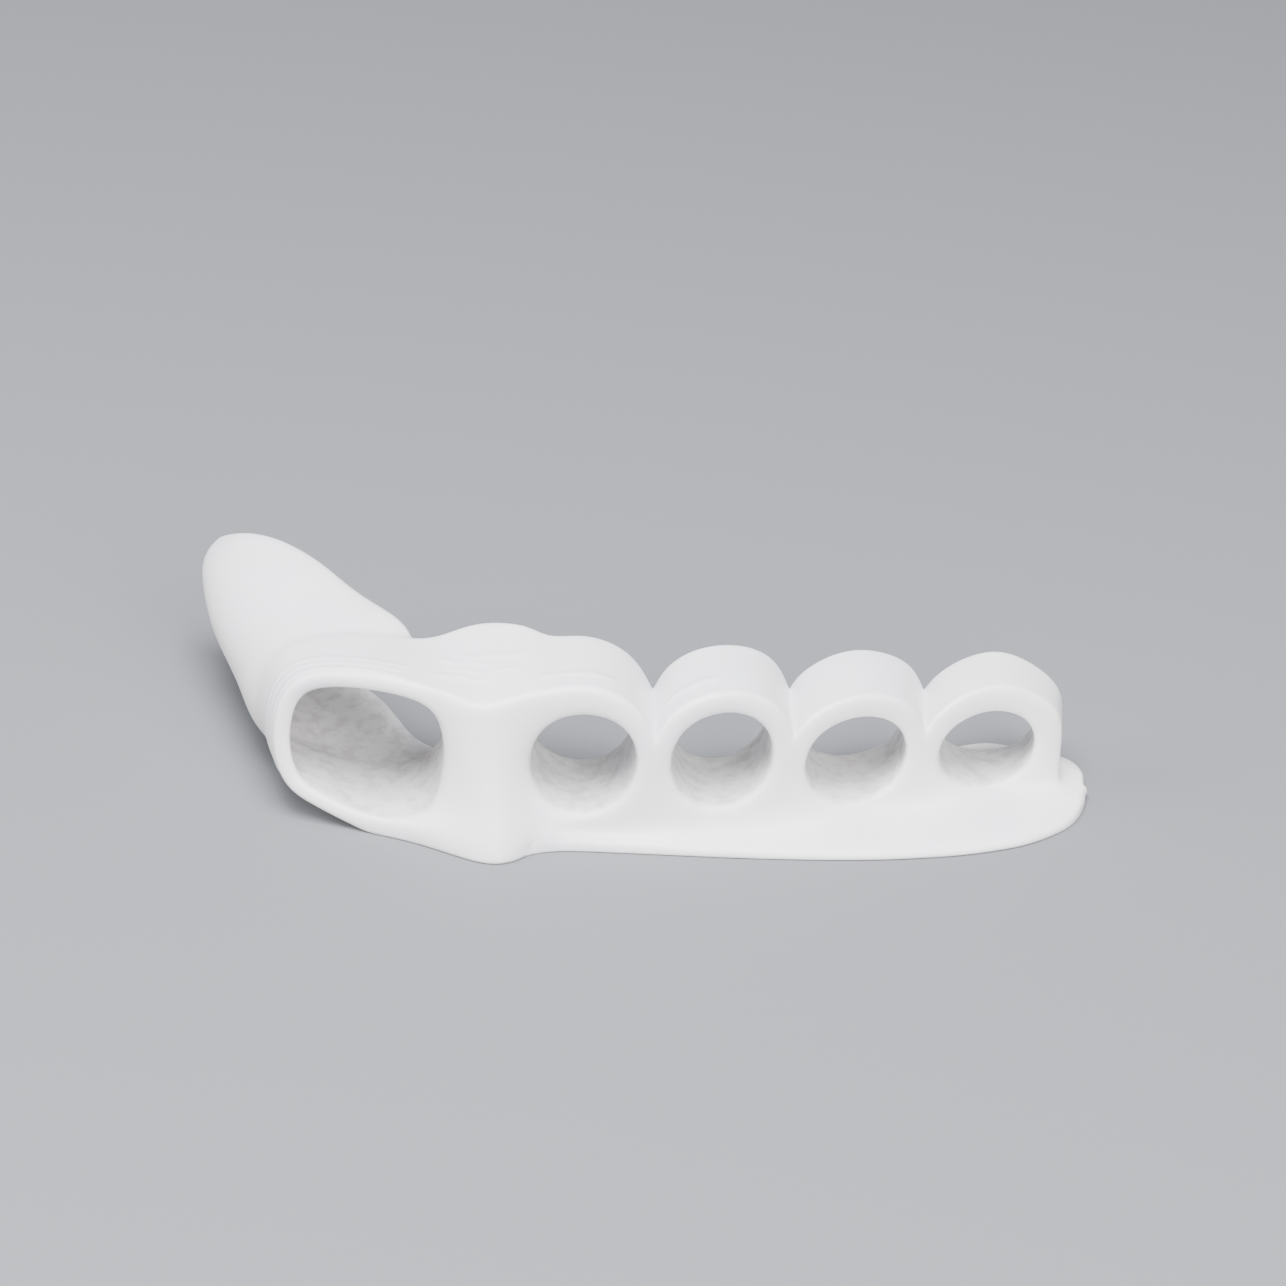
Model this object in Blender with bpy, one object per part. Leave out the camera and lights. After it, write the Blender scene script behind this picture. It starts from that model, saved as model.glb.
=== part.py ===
"""Toe separator with five loops and a bunion shield, moulded in one piece of soft gel.

The moulding stands on its sole. X runs along the row of loops, from the big toe to the little
toe, Y runs back from the toe tips towards the heel, and Z is up. The origin is on the sole, under
the middle of the third toe's loop. All lengths are in metres.

The shape is a cage of prisms. Each prism has a polygon of the front view, and reaches from one
station to another along Y. The faces that belong to only one prism are the skin of the moulding,
and a Subdivision Surface modifier rounds them.
"""

import math
from collections import Counter

import bmesh
import bpy

# Loops of the four small toes
TOE_BORE_WIDTH = 0.0141
TOE_BORE_HEIGHT = 0.0150
TOE_BORE_FLOOR = 0.0049
TOE_CROWN_WALL = 0.0027
TOE_WEB_WALL = 0.0048
TOE_END_WALL = 0.0041
LOOP_DEPTH = 0.0160
ROW_SWEEP = 0.0180
END_SLOPE = 0.30
END_DEPTH_SHARE = 0.72
LITTLE_LEAN = 0.10

# Loop of the big toe
BIG_BORE_WIDTH = 0.0205
BIG_BORE_HEIGHT = 0.0174
BIG_WALL = 0.0024
BIG_SWEEP = 0.0045
BIG_BACK = 0.0172

# Spreader between the big toe and the second toe
SPREADER_WIDTH = 0.0116
SPREADER_NOSE = 0.0082
SPREADER_TAIL = 0.0040
SPREADER_RISE = 0.0026

# Sole
SOLE_THICKNESS = 0.0021
SOLE_EDGE_THICKNESS = 0.0012
SOLE_SWEEP = 0.0250
SOLE_SQUARENESS = 2.6
SOLE_HEEL = 0.0024
LITTLE_HEEL = 0.0034
SOLE_TIP_REACH = 0.0040
FOOT_RUN_RIGHT = 0.0120
FOOT_RUN_LEFT = 0.0165

# Bunion shield behind the big toe's loop
SHIELD_LENGTH = 0.0540

# Rounding rows beside each rim
RIM_ROW = 0.0011

LOOP_POINTS = 12
STEP = math.tau / LOOP_POINTS
# A subdivided ring of LOOP_POINTS corners lies inside its corners by this share
DRAW_IN = (3 + math.cos(STEP)) / 4

# Small loops as shares of the bore's width, height and floor and of the loop's depth
SMALL_LOOPS = (
    {"name": "second", "width": 1.00, "height": 0.95, "floor": 1.04, "depth": 1.08, "crown": 1.55},
    {"name": "third", "width": 0.96, "height": 0.92, "floor": 1.08, "depth": 1.00, "crown": 1.17},
    {"name": "fourth", "width": 0.98, "height": 0.83, "floor": 0.78, "depth": 0.98, "crown": 1.27},
    {"name": "little", "width": 0.95, "height": 0.74, "floor": 0.62, "depth": 0.78, "crown": 1.42},
)
SWEEP_POWER = 1.6

# Stations along Y, from the front edge of the sole to its back edge
SOLE_FRONT, SOLE_FRONT_ROW, LOOP_FRONT, LOOP_FRONT_ROW = range(4)
LOOP_BACK_ROW, LOOP_BACK, SOLE_BACK_ROW, SOLE_BACK = range(4, 8)

# Sections of the big toe's loop and of the shield. Reach is a share of the shield's length, out,
# half_width, up and half_height are shares of the big bore's width and height, and the angles are
# those of the lower and the upper edge, in degrees, counted from the right over the top.
SECTION_COLUMNS = (
    "reach",
    "out",
    "half_width",
    "up",
    "half_height",
    "low",
    "high",
    "square",
    "wall",
)
BIG_SECTIONS = (
    (0.00, 0.50, 0.50, 0.53, 0.53, 300, 60, 3.2, 1.00),
    (0.02, 0.50, 0.50, 0.53, 0.53, 300, 60, 3.2, 1.00),
    (0.28, 0.56, 0.57, 0.51, 0.51, 300, 60, 2.8, 1.00),
    (0.31, 0.57, 0.59, 0.50, 0.50, 300, 61, 2.6, 1.00),
    (0.37, 0.57, 0.64, 0.52, 0.50, 303, 64, 2.4, 1.00),
    (0.43, 0.58, 0.67, 0.54, 0.50, 304, 70, 2.3, 1.00),
    (0.53, 0.70, 0.62, 0.58, 0.46, 305, 79, 2.2, 1.05),
    (0.66, 0.86, 0.56, 0.62, 0.43, 303, 82, 2.1, 1.15),
    (0.79, 0.97, 0.53, 0.66, 0.41, 275, 94, 2.0, 1.15),
    (0.90, 1.06, 0.49, 0.72, 0.38, 236, 118, 2.0, 1.00),
    (1.00, 1.11, 0.46, 0.74, 0.34, 205, 150, 2.0, 0.80),
)
FIRST_SECTION = LOOP_FRONT

# Rows of points of the spreader. Side is a share of its width from its middle, height a share of
# its height, nose and tail are shares of its bulges, front and back are shares of its rise.
SPREADER_ROWS = {
    "under": {"side": 0.14, "height": 0.00, "nose": 1.00, "tail": 0.0, "front": 0.0, "back": 0.0},
    "over": {"side": 0.14, "height": 0.00, "nose": 0.95, "tail": 0.0, "front": 0.0, "back": 0.0},
    "post11": {"side": 0.10, "height": 0.30, "nose": 0.72, "tail": 0.6, "front": 0.0, "back": 0.0},
    "post0": {"side": 0.02, "height": 0.55, "nose": 0.46, "tail": 0.9, "front": 0.0, "back": 0.0},
    "post1": {"side": 0.00, "height": 0.78, "nose": 0.30, "tail": 1.0, "front": -0.2, "back": 0.3},
    "top": {"side": -0.10, "height": 1.00, "nose": 0.20, "tail": 1.0, "front": -0.65, "back": 0.9},
    "left": {"side": -0.40, "height": 1.00, "nose": 0.05, "tail": 0.3, "front": -0.25, "back": 0.60},
    "right": {"side": 0.42, "height": 1.00, "nose": 0.08, "tail": 0.5, "front": 0.15, "back": 1.05},
}
LAST_SECTION = FIRST_SECTION + len(BIG_SECTIONS) - 1

BORE_SQUARENESS = 2.1
CROWN_SPREAD = 0.70
CROWN_SQUARENESS = 2.0
# Angles of the points of a crown, by their number
CROWN_ANGLES = {1: 42, 2: 65, 3: 90, 4: 115, 5: 138}
VALLEY_RISE = 0.24
# How far the valleys and the second crown lie to the right, as shares of the bore's width
VALLEY_SHIFTS = {"second": 0.0, "third": 0.035, "fourth": 0.01}
SECOND_CROWN_SHIFT = -0.05
WEB_RISES = {"web1": 0.11, "web0": -0.02}
VALLEY_CREASE = 0.8
VALLEY_SETBACK = 0.0003
# Shares that draw the lower outer corner of the big toe's loop in, by the number of its point
LOWER_CORNER = {7: 0.935, 8: 0.82}
SKIN_SQUARENESS = 0.92

GEL_COLOUR = (0.86, 0.86, 0.88, 1.0)
GEL_ROUGHNESS = 0.42


def ellipse_point(angle, half_width, half_height, squareness):
    """A point of a superellipse round the origin, at an angle in degrees."""
    c = math.cos(math.radians(angle))
    s = math.sin(math.radians(angle))
    power = 2 / squareness
    return (
        half_width * math.copysign(abs(c) ** power, c),
        half_height * math.copysign(abs(s) ** power, s),
    )


def small_loops():
    """The four small loops with their real sizes, placed one after the other from the spreader."""
    loops = []
    left = 0.0
    for row in SMALL_LOOPS:
        width = TOE_BORE_WIDTH * row["width"]
        height = TOE_BORE_HEIGHT * row["height"]
        floor = TOE_BORE_FLOOR * row["floor"]
        loops.append(
            {
                "name": row["name"],
                "x": left + width / 2,
                "z": floor + height / 2,
                "half_width": width / 2,
                "half_height": height / 2,
                "depth": LOOP_DEPTH * row["depth"],
                "crown": TOE_CROWN_WALL * row["crown"],
            }
        )
        left += width + TOE_WEB_WALL
    middle = loops[1]["x"]
    for loop in loops:
        loop["x"] -= middle
    return loops


LOOPS = small_loops()
SECOND, THIRD, FOURTH, LITTLE = LOOPS
ROW_START = SECOND["x"]
ROW_END = LITTLE["x"]
SPREADER_RIGHT = SECOND["x"] - SECOND["half_width"]
SPREADER_LEFT = SPREADER_RIGHT - SPREADER_WIDTH
END_WALL_X = LITTLE["x"] + LITTLE["half_width"] + TOE_END_WALL
SOLE_TIP_X = END_WALL_X + SOLE_TIP_REACH
SOLE_START_X = THIRD["x"] - THIRD["half_width"] / 2
SPREADER_X = (SPREADER_LEFT + SPREADER_RIGHT) / 2 + SPREADER_WIDTH * 0.1


def loop_front(x):
    """Where the front faces of the loops lie, at x."""
    if x > ROW_END:
        return ROW_SWEEP + END_SLOPE * (x - ROW_END)
    if x >= ROW_START:
        return ROW_SWEEP * ((x - ROW_START) / (ROW_END - ROW_START)) ** SWEEP_POWER
    share = min(1.0, max(0.0, (SPREADER_LEFT - x) / BIG_BORE_WIDTH))
    return BIG_SWEEP * share**1.5


def loop_back(x):
    """Where the back faces of the loops lie, at x."""
    if x <= SPREADER_RIGHT:
        return BIG_BACK
    stops = [(loop["x"], loop["depth"]) for loop in LOOPS]
    stops.append((END_WALL_X, LITTLE["depth"] * END_DEPTH_SHARE))
    depth = stops[0][1]
    for (x0, depth0), (x1, depth1) in zip(stops, stops[1:]):
        if x > x0:
            depth = depth0 + (depth1 - depth0) * min(1.0, (x - x0) / (x1 - x0))
    return loop_front(x) + depth


def foot_bulge(x):
    """How far the foot of the spreader's nose pushes the front of the sole forward, at x."""
    run = FOOT_RUN_LEFT if x < SPREADER_X else FOOT_RUN_RIGHT
    share = max(0.0, 1 - abs(x - SPREADER_X) / run)
    return SPREADER_NOSE * share**2


def heel_reach(x):
    """How far the sole reaches behind the loops, at x."""
    share = max(0.0, 1 - abs(x - LITTLE["x"]) / (END_WALL_X - LITTLE["x"]))
    return SOLE_HEEL + LITTLE_HEEL * share**0.8


def sole_front(x):
    """The front edge of the sole, a quarter of a rounded square from the third toe to the tip."""
    if x <= SOLE_START_X:
        run = (x - SPREADER_RIGHT) / (ROW_START - SPREADER_RIGHT)
        return -RIM_ROW * min(1.0, max(0.15, run))
    share = min(1.0, (x - SOLE_START_X) / (SOLE_TIP_X - SOLE_START_X))
    power = SOLE_SQUARENESS
    return SOLE_SWEEP * (1 - (1 - share**power) ** (1 / power)) - RIM_ROW


def sole_back(x):
    """The back edge of the sole, which turns in round the end wall to the tip."""
    back = loop_back(min(x, END_WALL_X)) + heel_reach(min(x, END_WALL_X))
    if x <= END_WALL_X:
        return back
    tip = sole_front(SOLE_TIP_X)
    share = min(1.0, (x - END_WALL_X) / (SOLE_TIP_X - END_WALL_X))
    return tip + (back - tip) * math.sqrt(1 - share * share)


def row_stations(x):
    """The Y of the eight stations of the sole and the loops, at x."""
    front = loop_front(x)
    back = loop_back(x)
    heel = heel_reach(x)
    edge = min(sole_front(x), front - RIM_ROW * 0.15)
    return [
        edge,
        edge + (front - edge) * 0.35,
        front,
        front + RIM_ROW,
        back - RIM_ROW,
        back,
        back + heel * 0.6,
        back + heel,
    ]


def foot_stations(x):
    """The same eight stations for the sole, pushed forward beside the spreader's foot."""
    bulge = foot_bulge(x)
    pushes = (1.0, 1.0, 1.0, 0.8, 0.0, 0.0, 0.0, 0.0)
    return [y - bulge * push for y, push in zip(row_stations(x), pushes)]


def tab_stations(x):
    """The Y of the eight stations beyond the end wall, spread evenly from edge to edge."""
    front = sole_front(x)
    back = sole_back(x)
    return [front + (back - front) * share for share in (0, 0.08, 0.3, 0.4, 0.6, 0.7, 0.92, 1)]


class Cage:
    """Points by name and station, and the prisms between them."""

    def __init__(self):
        self.points = {}
        self.prisms = []
        self.creases = []

    def column(self, name, x, z, ys, first=SOLE_FRONT):
        """One point for each Y, from the first station on, all at the same x and z."""
        for station, y in enumerate(ys, first):
            self.points[name, station] = (x, y, z)

    def prism(self, corners, first, last):
        """A prism with these corners between two stations."""
        for station in range(first, last):
            self.prisms.append((tuple(corners), station))

    def lean(self):
        """Turns the little toe's loop outward, more and more from the fourth loop on."""
        for key, (x, y, z) in self.points.items():
            if x > FOURTH["x"]:
                share = min(1.0, (x - FOURTH["x"]) / (LITTLE["x"] - FOURTH["x"]))
                run = max(0.0, y - loop_front(x))
                self.points[key] = (x + LITTLE_LEAN * share * run, y, z)

    def faces(self):
        """The faces that only one prism has."""
        found = {}
        seen = Counter()
        for corners, station in self.prisms:
            ends = [[(c, station) for c in corners], [(c, station + 1) for c in corners]]
            sides = [
                [(a, station), (b, station), (b, station + 1), (a, station + 1)]
                for a, b in zip(corners, corners[1:] + corners[:1])
            ]
            for face in ends + sides:
                key = frozenset(face)
                seen[key] += 1
                found[key] = face
        return [face for key, face in found.items() if seen[key] == 1]

    def mesh(self, name):
        """The skin as a mesh with its faces pointing out."""
        bm = bmesh.new()
        verts = {}
        for face in self.faces():
            for corner in face:
                if corner not in verts:
                    verts[corner] = bm.verts.new(self.points[corner])
        for face in self.faces():
            bm.faces.new([verts[corner] for corner in face])
        bmesh.ops.recalc_face_normals(bm, faces=bm.faces)
        crease = bm.edges.layers.float.new("crease_edge")
        for a, b in self.creases:
            bm.edges.get((verts[a], verts[b]))[crease] = VALLEY_CREASE
        mesh = bpy.data.meshes.new(name)
        bm.to_mesh(mesh)
        bm.free()
        return mesh


def add_bore(cage, loop):
    """The ring of points round a small toe's bore."""
    for index in range(LOOP_POINTS):
        dx, dz = ellipse_point(
            math.degrees(index * STEP),
            loop["half_width"] / DRAW_IN,
            loop["half_height"] / DRAW_IN,
            BORE_SQUARENESS,
        )
        x = loop["x"] + dx
        ys = row_stations(x)[LOOP_FRONT : LOOP_BACK + 1]
        cage.column(f"{loop['name']}.bore{index}", x, loop["z"] + dz, ys, LOOP_FRONT)


def add_crown(cage, loop, indices):
    """Points on the outside of a small loop, at the given steps round the bore."""
    half_width = loop["half_width"] + TOE_WEB_WALL * CROWN_SPREAD
    half_height = loop["half_height"] + loop["crown"]
    for index in indices:
        dx, dz = ellipse_point(
            CROWN_ANGLES[index], half_width / DRAW_IN, half_height / DRAW_IN, CROWN_SQUARENESS
        )
        x = loop["x"] + dx
        if loop is SECOND:
            x += SECOND_CROWN_SHIFT * TOE_BORE_WIDTH
        ys = row_stations(x)[LOOP_FRONT : LOOP_BACK + 1]
        cage.column(f"{loop['name']}.crown{index}", x, loop["z"] + dz, ys, LOOP_FRONT)


def add_sole_column(cage, name, x, stations):
    """Two rows of points through the sole, at its underside and at its top."""
    for station, y in enumerate(stations):
        thickness = SOLE_THICKNESS
        if station in (SOLE_FRONT, SOLE_BACK):
            thickness = SOLE_EDGE_THICKNESS
        elif station in (SOLE_FRONT_ROW, SOLE_BACK_ROW):
            thickness = (SOLE_THICKNESS + SOLE_EDGE_THICKNESS) / 2
        cage.points[f"{name}.under", station] = (x, y, 0.0)
        cage.points[f"{name}.over", station] = (x, y, thickness)


def add_small_loops(cage):
    """The four small loops, the webs between them and the sole under them."""
    for loop in LOOPS:
        name = loop["name"]
        add_bore(cage, loop)
        add_crown(cage, loop, CROWN_ANGLES)
        foot_columns = range(7, 12)
        for index in foot_columns:
            x = cage.points[f"{name}.bore{index}", LOOP_FRONT][0]
            add_sole_column(cage, f"{name}.foot{index}", x, foot_stations(x))
        for index in range(7, 11):
            a, b = f"{name}.foot{index}", f"{name}.foot{index + 1}"
            cage.prism([f"{a}.under", f"{b}.under", f"{b}.over", f"{a}.over"], SOLE_FRONT, SOLE_BACK)
            cage.prism(
                [f"{a}.over", f"{b}.over", f"{name}.bore{index + 1}", f"{name}.bore{index}"],
                LOOP_FRONT,
                LOOP_BACK,
            )
        for index in (2, 3):
            cage.prism(
                [
                    f"{name}.bore{index}",
                    f"{name}.bore{index + 1}",
                    f"{name}.crown{index + 1}",
                    f"{name}.crown{index}",
                ],
                LOOP_FRONT,
                LOOP_BACK,
            )
    for left, right in zip(LOOPS, LOOPS[1:]):
        add_web(cage, left, right)


def add_web(cage, left, right):
    """The wall between two small loops, with the valley over it."""
    a, b = left["name"], right["name"]
    valley = f"{a}.valley"
    x = (left["x"] + left["half_width"] + right["x"] - right["half_width"]) / 2
    x += VALLEY_SHIFTS[a] * TOE_BORE_WIDTH
    web1, web0 = f"{a}.web1", f"{a}.web0"
    middle_z = (left["z"] + right["z"]) / 2
    ys = row_stations(x)[LOOP_FRONT : LOOP_BACK + 1]
    cage.column(web1, x, middle_z + WEB_RISES["web1"] * TOE_BORE_HEIGHT, ys, LOOP_FRONT)
    cage.column(web0, x, middle_z + WEB_RISES["web0"] * TOE_BORE_HEIGHT, ys, LOOP_FRONT)
    ys[0] += VALLEY_SETBACK
    ys[-1] -= VALLEY_SETBACK
    cage.column(valley, x, middle_z + VALLEY_RISE * TOE_BORE_HEIGHT, ys, LOOP_FRONT)
    for station in range(LOOP_FRONT, LOOP_BACK):
        cage.creases.append(((valley, station), (valley, station + 1)))
    for station in (LOOP_FRONT, LOOP_BACK):
        cage.creases.append(((valley, station), (web1, station)))
    polygons = (
        [f"{a}.bore2", f"{a}.crown2", f"{a}.crown1", f"{a}.bore1"],
        [f"{b}.bore5", f"{b}.crown5", f"{b}.crown4", f"{b}.bore4"],
        [f"{a}.bore1", f"{a}.crown1", valley, web1],
        [web1, valley, f"{b}.crown5", f"{b}.bore5"],
        [f"{a}.bore0", f"{a}.bore1", web1, web0],
        [web0, web1, f"{b}.bore5", f"{b}.bore6"],
        [f"{a}.bore11", f"{a}.bore0", web0, f"{b}.bore6", f"{b}.bore7"],
        [f"{a}.foot11.over", f"{a}.bore11", f"{b}.bore7", f"{b}.foot7.over"],
    )
    for polygon in polygons:
        cage.prism(polygon, LOOP_FRONT, LOOP_BACK)
    cage.prism(
        [f"{a}.foot11.under", f"{a}.foot11.over", f"{b}.foot7.over", f"{b}.foot7.under"],
        SOLE_FRONT,
        SOLE_BACK,
    )


def add_end_wall(cage):
    """The outer wall of the little toe's loop and the tip of the sole beside it."""
    name = LITTLE["name"]
    for index, angle in ((1, 33), (0, 2), (11, -32)):
        z = LITTLE["z"] + (LITTLE["half_height"] + TOE_CROWN_WALL) * math.sin(math.radians(angle))
        x = END_WALL_X
        if index == 1:
            x -= 0.0006
        ys = row_stations(x)[LOOP_FRONT : LOOP_BACK + 1]
        cage.column(f"{name}.end{index}", x, z, ys, LOOP_FRONT)
    add_sole_column(cage, "tip0", END_WALL_X, row_stations(END_WALL_X))
    for index, share in ((1, 0.62), (2, 0.95)):
        x = END_WALL_X + (SOLE_TIP_X - END_WALL_X) * share
        add_sole_column(cage, f"tip{index}", x, tab_stations(x))
    polygons = (
        [f"{name}.bore1", f"{name}.bore2", f"{name}.crown2", f"{name}.end1"],
        [f"{name}.bore0", f"{name}.bore1", f"{name}.end1", f"{name}.end0"],
        [f"{name}.bore11", f"{name}.bore0", f"{name}.end0", f"{name}.end11"],
        [f"{name}.foot11.over", f"{name}.bore11", f"{name}.end11", "tip0.over"],
    )
    for polygon in polygons:
        cage.prism(polygon, LOOP_FRONT, LOOP_BACK)
    for a, b in ((f"{name}.foot11", "tip0"), ("tip0", "tip1"), ("tip1", "tip2")):
        cage.prism([f"{a}.under", f"{b}.under", f"{b}.over", f"{a}.over"], SOLE_FRONT, SOLE_BACK)


def add_big_loop(cage):
    """The big toe's loop, which runs back without a break into the bunion shield."""
    span = 8
    for station, values in enumerate(BIG_SECTIONS, FIRST_SECTION):
        row = dict(zip(SECTION_COLUMNS, values))
        closed = station <= LOOP_BACK
        wall = BIG_WALL * row["wall"]
        middle_x = SPREADER_LEFT - BIG_BORE_WIDTH * row["out"]
        middle_z = BIG_WALL + BIG_BORE_HEIGHT * row["up"]
        half_width = BIG_BORE_WIDTH * row["half_width"]
        half_height = BIG_BORE_HEIGHT * row["half_height"]
        for index in range(-1, 11):
            angle = row["low"] + (row["high"] - row["low"]) * (10 - index) / span
            if not closed and index < 2:
                continue
            dx, dz = ellipse_point(
                angle, half_width / DRAW_IN, half_height / DRAW_IN, row["square"]
            )
            y = SHIELD_LENGTH * row["reach"]
            x = middle_x + dx
            if closed:
                y = row_stations(x)[station]
                if index >= 9 and station <= LOOP_FRONT_ROW:
                    y -= foot_bulge(x)
            if closed:
                dx *= LOWER_CORNER.get(index, 1.0)
                dz *= LOWER_CORNER.get(index, 1.0)
                x = middle_x + dx
            cage.points[f"big.bore{index % LOOP_POINTS}", station] = (x, y, middle_z + dz)
            if index < 2:
                continue
            dx, dz = ellipse_point(
                angle,
                half_width / DRAW_IN + wall,
                half_height / DRAW_IN + wall,
                row["square"] * SKIN_SQUARENESS,
            )
            if closed:
                dx *= LOWER_CORNER.get(index, 1.0)
                dz *= LOWER_CORNER.get(index, 1.0)
            z = middle_z + dz
            if station <= SOLE_BACK and index >= 9:
                z = 0.0
            cage.points[f"big.skin{index}", station] = (middle_x + dx, y, max(z, 0.0))
    for index in range(2, 10):
        polygon = [
            f"big.bore{index}",
            f"big.bore{index + 1}",
            f"big.skin{index + 1}",
            f"big.skin{index}",
        ]
        cage.prism(polygon, LOOP_FRONT, LAST_SECTION)


def add_spreader(cage):
    """The thick post between the big toe and the second toe."""
    middle = (SPREADER_LEFT + SPREADER_RIGHT) / 2
    top = BIG_WALL * 2 + BIG_BORE_HEIGHT
    for name, row in SPREADER_ROWS.items():
        x = middle + SPREADER_WIDTH * row["side"]
        nose = SPREADER_NOSE * row["nose"]
        tail = SPREADER_TAIL * row["tail"]
        pushes = (-nose, -nose, -nose, -nose * 0.8, tail * 0.7, tail, 0.0, 0.0)
        for station, y in enumerate(row_stations(x)):
            share = min(1.0, max(0.0, (station - LOOP_FRONT_ROW) / 1.5))
            rise = SPREADER_RISE * (row["front"] + (row["back"] - row["front"]) * share)
            z = top * row["height"] + rise
            if name == "over":
                z = SOLE_THICKNESS if station < SOLE_BACK else SOLE_EDGE_THICKNESS
            cage.points[f"spreader.{name}", station] = (x, y + pushes[station], z)
    upper = (
        ["big.bore2", "big.bore1", "spreader.left", "big.skin2"],
        ["big.bore1", "spreader.post1", "spreader.top", "spreader.left"],
        ["spreader.post1", "second.bore5", "spreader.right", "spreader.top"],
        ["second.bore5", "second.bore4", "second.crown4", "spreader.right"],
        ["big.bore1", "big.bore0", "spreader.post0", "spreader.post1"],
        ["spreader.post1", "spreader.post0", "second.bore6", "second.bore5"],
        ["big.bore0", "big.bore11", "spreader.post11", "spreader.post0"],
        ["spreader.post0", "spreader.post11", "second.bore7", "second.bore6"],
        ["big.bore11", "big.bore10", "spreader.over", "spreader.post11"],
        ["spreader.post11", "spreader.over", "second.foot7.over", "second.bore7"],
    )
    for polygon in upper:
        cage.prism(polygon, LOOP_FRONT, LOOP_BACK)
    lower = (
        ["big.bore10", "big.skin10", "spreader.under", "spreader.over"],
        ["spreader.over", "spreader.under", "second.foot7.under", "second.foot7.over"],
    )
    for polygon in lower:
        cage.prism(polygon, LOOP_FRONT, SOLE_BACK)


def gel_material():
    """Milky white silicone gel."""
    material = bpy.data.materials.new("milky_gel")
    material.use_nodes = True
    shader = material.node_tree.nodes["Principled BSDF"]
    shader.inputs["Base Color"].default_value = GEL_COLOUR
    shader.inputs["Roughness"].default_value = GEL_ROUGHNESS
    shader.inputs["Metallic"].default_value = 0.0
    return material


def build():
    """Makes the moulding as one closed solid."""
    for old in list(bpy.data.objects):
        bpy.data.objects.remove(old)
    cage = Cage()
    add_small_loops(cage)
    add_end_wall(cage)
    add_big_loop(cage)
    add_spreader(cage)
    cage.lean()
    mesh = cage.mesh("gel_moulding")
    third_middle = loop_front(THIRD["x"]) + THIRD["depth"] / 2
    for vertex in mesh.vertices:
        vertex.co.y -= third_middle
    moulding = bpy.data.objects.new("gel_moulding", mesh)
    bpy.context.scene.collection.objects.link(moulding)
    mesh.materials.append(gel_material())
    mesh.shade_smooth()
    rounding = moulding.modifiers.new("rounding", "SUBSURF")
    rounding.levels = 1
    rounding.render_levels = 1
    return moulding


build()
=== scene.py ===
"""Toe separator of milky silicone gel, with five toe loops and a bunion shield.

The moulding is one piece of soft gel that lies on its sole. X runs along the row of loops from
the big toe to the little toe, Y runs back towards the heel and Z is up. The origin is on the
sole, under the middle of the third toe's loop. Lengths are in metres.
"""

import logging
import math
from collections import Counter
from collections.abc import Iterable
from dataclasses import dataclass
from enum import Enum, IntEnum

import bmesh
import bpy
from mathutils import Matrix, Vector

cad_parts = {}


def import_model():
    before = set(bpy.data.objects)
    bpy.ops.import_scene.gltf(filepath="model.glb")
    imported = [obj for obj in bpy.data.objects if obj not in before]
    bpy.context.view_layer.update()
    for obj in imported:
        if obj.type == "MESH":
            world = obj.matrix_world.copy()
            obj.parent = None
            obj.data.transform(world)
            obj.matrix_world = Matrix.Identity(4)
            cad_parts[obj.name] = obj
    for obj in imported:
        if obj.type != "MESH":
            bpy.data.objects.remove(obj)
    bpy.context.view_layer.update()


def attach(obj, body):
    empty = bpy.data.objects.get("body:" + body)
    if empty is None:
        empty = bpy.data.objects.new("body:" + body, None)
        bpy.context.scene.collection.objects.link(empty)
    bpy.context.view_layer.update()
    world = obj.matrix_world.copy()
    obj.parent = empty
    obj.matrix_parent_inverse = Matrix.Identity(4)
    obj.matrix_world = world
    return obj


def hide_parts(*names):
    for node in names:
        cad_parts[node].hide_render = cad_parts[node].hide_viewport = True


LOG = logging.getLogger("toe_separator")

NODE = "gel_moulding"
BODY = "root"
SKIN = "gel_moulding_skin"
CRUMBS = "gel_crumbs"

# The attributes that mark the cage's sharp edges and the points inside the bores, where the gel's
# colour gets a painted shade and the crumbs fall
CREASE = "crease_edge"
BORE = "bore"

Point = tuple[float, float, float]
Colour = tuple[float, float, float]
Corner = tuple[str, int]
Value = bpy.types.NodeSocket | float


class Station(IntEnum):
    """Places along Y where the cage has points, from the front edge of the sole backwards."""

    SOLE_FRONT = 0
    SOLE_FRONT_ROW = 1
    SHELF_ROW = 2
    LOOP_FRONT = 3
    FRONT_ROW = 4
    FRONT_QUARTER = 5
    MIDDLE = 6
    BACK_QUARTER = 7
    BACK_ROW = 8
    LOOP_BACK = 9
    SOLE_BACK_ROW = 10
    SOLE_BACK = 11


RING = 12
RING_STEP = math.tau / RING
# A subdivided ring lies inside its corners by this share
DRAW_IN = (3 + math.cos(RING_STEP)) / 4

# Points below this height lie on the floor, and the edge round them is this sharp
FLOOR_GAP = 0.00001
FLOOR_CREASE = 0.55

# How far each station follows the foot of the nose, from the front edge of the sole backwards
BULGE_SHARES = (1.0, 1.0, 1.0, 1.0, 0.8, 0.6, 0.4, 0.2)


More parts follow.
